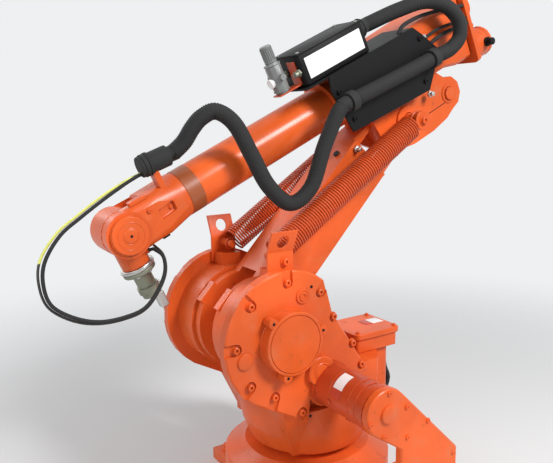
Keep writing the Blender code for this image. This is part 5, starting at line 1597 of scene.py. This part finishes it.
@dataclass
class WristFittings:
    """Painted shadow band, cover rings, screws, tab and gland rings of the forearm's front end."""

    places: Places
    gland_frame: Matrix
    axis_x: float = 0.720
    cover_top: float = 0.0703
    cover_rings: tuple[Pair, ...] = ((0.0262, 0.0008), (0.0155, 0.0007), (0.0090, 0.0007))
    cover_ring_sides: int = 40
    cover_dot: Bar = Bar(0.0026, 0, 0.0032, 16)
    # painted shadow: a thin darker ring round the tube near the wrist, where shade falls
    shadow_band: Turning = flat_ring(0.0487, 0.0490, 0.542, 0.574, 64, 0.0001)
    screw: Screw = Screw(0.0042, 0.0022, 0.0060, 0.0008)
    screw_seat: Point = (0.6643, 0.062, 0.0211)
    recess_seat: Point = (-0.0120, 0.0, -0.0075)
    tab: Box = Box((0.655, 0.0385, 0.0430), (0.692, 0.0545, 0.0515), 0.0012)
    stop: Box = Box((0.6455, 0.030, -0.0470), (0.6615, 0.050, -0.0320), 0.0012)
    lock_rings: tuple[Turning, ...] = tuple(
        flat_ring(0.0208, 0.0226, low, high, 40) for low, high in ((0.040, 0.0465), (0.0475, 0.0555)))
    grip_rib: Bar = Bar(0.0011, 0.0405, 0.0460, 6)
    grip_ribs: int = 20
    grip_radius: float = 0.0224

    def build(self) -> None:
        """Make the fittings, all in the forearm's own frame."""
        place = self.places.forearm
        seat = side_seats([(self.axis_x, 0)], self.cover_top)[0]
        work = Workpiece()
        for major, minor in self.cover_rings:
            work.ring(Wire(major, minor, sides=self.cover_ring_sides), seat)
        work.finish("wrist_cover_rings", "forearm", Finish.ORANGE, place)
        Workpiece().bar(self.cover_dot, seat).finish("wrist_cover_dot", "forearm", Finish.BLACK, place)
        # the tube's painted shadow band
        shadow_band = Workpiece().turned(self.shadow_band, facing((0, 0, 0), AHEAD))
        shadow_band.finish("tube_painted_shadow", "forearm", Finish.SHADOW_BAND, place)
        Fastening("wrist_screws", "forearm", self.screw).build(
            [facing(self.screw_seat, NEARWARD), RECESS_FRAME @ Matrix.Translation(self.recess_seat)], place)
        Workpiece().block(self.tab).finish("wrist_tab", "forearm", Finish.ORANGE, place)
        Workpiece().block(self.stop).finish("wrist_stop", "forearm", Finish.BLACK, place)
        rings = Workpiece()
        for ring in self.lock_rings:
            rings.turned(ring, self.gland_frame)
        for index in range(self.grip_ribs):
            rings.bar(self.grip_rib, spoke(self.gland_frame, index, self.grip_ribs, self.grip_radius))
        rings.finish("wrist_gland_rings", "forearm", Finish.RUBBER, place)


@dataclass
class ToolFittings:
    """Flange ring, screws and clamp ring of the tool side."""

    places: Places
    body: str
    ring: Turning = flat_ring(0.0340, 0.0362, 0.0785, 0.0825, 48)
    bolt: Screw = Screw(0.0038, 0.0036)
    bolt_circle: float = 0.0265
    bolt_degrees: tuple[float, ...] = (0, 60, 120, 180, 240, 300)
    plate_top: float = 0.0933
    collar: Turning = flat_ring(0.0188, 0.0222, 0.1260, 0.1400, 40)
    collar_screw: Screw = Screw(0.0034, 0.0030)
    collar_seat: Point = (0.0225, 0.0, 0.1330)

    def build(self) -> None:
        """Make the fittings in the flange's own frame."""
        place = self.places.flange
        axis = facing((0, 0, 0), UP)
        Workpiece().turned(self.ring, axis).finish("flange_ring", self.body, Finish.STEEL, place)
        Fastening("flange_screws", self.body, self.bolt, Finish.STEEL).build(
            [facing((x, y, self.plate_top), UP)
             for x, y in circle_points(self.bolt_circle, self.bolt_degrees)], place)
        Workpiece().turned(self.collar, axis).finish("adaptor_collar", self.body, Finish.OLIVE, place)
        Fastening("collar_screw", self.body, self.collar_screw, Finish.STEEL).build(
            [facing(self.collar_seat, AHEAD)], place)


class Lamp(NamedTuple):
    """A square lamp that looks at the machine's middle."""

    name: str
    spot: Point
    size: float
    power: float


@dataclass
class Studio:
    """Floor, lamps, world and the photograph's camera."""

    eye: Point = (0.8480, 1.2073, 0.9253)
    yaw: float = math.radians(32.5)
    pitch: float = math.radians(10.03)
    roll: float = math.radians(-0.71)
    focal_pixels: float = 648.2
    frame_pixels: float = 553.0
    sensor: float = 36.0
    nearest: float = 0.01
    floor_colour: Point = (0.74, 0.74, 0.73)
    floor_roughness: float = 0.85
    floor_size: float = 40.0
    floor_drop: float = 0.0005
    floor_fade: Pair = (0.9, 2.6)
    lamps: tuple[Lamp, ...] = (
        Lamp("key", (-0.7, 2.2, 2.5), 0.8, 88), Lamp("fill", (2.2, 1.0, 1.5), 1.6, 20),
        Lamp("rim", (1.2, -2.0, 2.2), 1.4, 26))
    machine_middle: Point = (0.0, 0.0, 0.65)
    world_light: Point = (0.34, 0.35, 0.37)
    backdrop: Point = (0.86, 0.87, 0.88)

    def build(self) -> None:
        """Set the camera, the floor and the light."""
        self.place_camera()
        self.lay_floor()
        self.hang_lamps()
        self.light_world()
        bpy.context.scene.view_settings.view_transform = "Standard"

    def place_camera(self) -> None:
        """Place the camera where the photograph was taken."""
        data = bpy.data.cameras.new("photograph")
        data.sensor_width = self.sensor
        data.lens = self.focal_pixels * self.sensor / self.frame_pixels
        data.clip_start = self.nearest
        made = linked("photograph", data)
        level = math.cos(self.pitch)
        ahead = Vector((-math.sin(self.yaw) * level, -math.cos(self.yaw) * level, -math.sin(self.pitch)))
        right = ahead.cross(Vector(UP)).normalized()
        up = right.cross(ahead)
        turned_right = right * math.cos(self.roll) + up * math.sin(self.roll)
        turned_up = up * math.cos(self.roll) - right * math.sin(self.roll)
        turn = Matrix((turned_right, turned_up, -ahead)).transposed()
        made.matrix_world = Matrix.Translation(self.eye) @ turn.to_4x4()
        bpy.context.scene.camera = made

    def lay_floor(self) -> None:
        """A wide pale floor that keeps the object's shadow and fades out far away."""
        work = bmesh.new()
        bmesh.ops.create_grid(work, x_segments=1, y_segments=1, size=self.floor_size / 2,
                              matrix=Matrix.Translation((0, 0, -self.floor_drop)))
        made = meshed("floor", work)
        graph = Graph("floor_paint")
        distance = graph.node("ShaderNodeVectorMath", {"operation": "LENGTH"}, {0: graph.place()}, "Value")
        graph.set(Base_Color=self.floor_colour, Roughness=self.floor_roughness, Specular_IOR_Level=0.1)
        graph.set(Alpha=1.0 - distance.step(*self.floor_fade))
        made.data.materials.append(graph.material)

    def hang_lamps(self) -> None:
        """A large key from the camera's left, a fill and a rim lamp."""
        for lamp in self.lamps:
            data = bpy.data.lights.new(lamp.name, "AREA")
            data.size = lamp.size
            data.energy = lamp.power
            aim = Vector(self.machine_middle) - Vector(lamp.spot)
            turn = aim.to_track_quat("-Z", "Y").to_matrix().to_4x4()
            linked(lamp.name, data).matrix_world = Matrix.Translation(lamp.spot) @ turn

    def light_world(self) -> None:
        """A soft even world, paler where the camera and clear reflections see it."""
        world = bpy.data.worlds.new("studio")
        world.use_nodes = True
        tree = world.node_tree
        path = tree.nodes.new("ShaderNodeLightPath")
        seen, clear = tree.nodes.new("ShaderNodeMath"), tree.nodes.new("ShaderNodeMath")
        seen.operation = clear.operation = "MAXIMUM"
        tint = tree.nodes.new("ShaderNodeMix")
        tint.data_type = "RGBA"
        tint.inputs[6].default_value = (*self.world_light, 1)
        tint.inputs[7].default_value = (*self.backdrop, 1)
        for output, socket in ((path.outputs["Is Glossy Ray"], clear.inputs[0]),
                               (path.outputs["Is Transmission Ray"], clear.inputs[1]),
                               (path.outputs["Is Camera Ray"], seen.inputs[0]),
                               (clear.outputs[0], seen.inputs[1]),
                               (seen.outputs[0], tint.inputs[0]),
                               (tint.outputs[2], tree.nodes["Background"].inputs["Color"])):
            tree.links.new(output, socket)
        bpy.context.scene.world = world


def main() -> None:
    """Build every sub-assembly in order."""
    logging.basicConfig(level=logging.INFO, format="%(name)s: %(message)s")
    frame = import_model()
    bodies = frame["record"]["behaviour"]["bodies"]
    body_of = {name: body for body, names in bodies.items() for name in names}
    places = Places({joint["name"]: joint for joint in frame["joints"]})
    Studio().build()
    cabling = Cabling(places)
    cabling.build()
    Hull(frame["nodes"], body_of, places).build()
    for side in SIDES:
        BalanceSpring(side, places).build()
        HousingFittings(side, places.at("axis_2")).build()
        MotorFittings(side).build()
    StandFittings().build()
    LinkFittings(places, body_of["elbow_pin"]).build()
    UpperArmFittings(places).build()
    WristFittings(places, cabling.gland_place).build()
    ToolFittings(places, body_of["tool_flange"]).build()


if __name__ == "__main__":
    main()
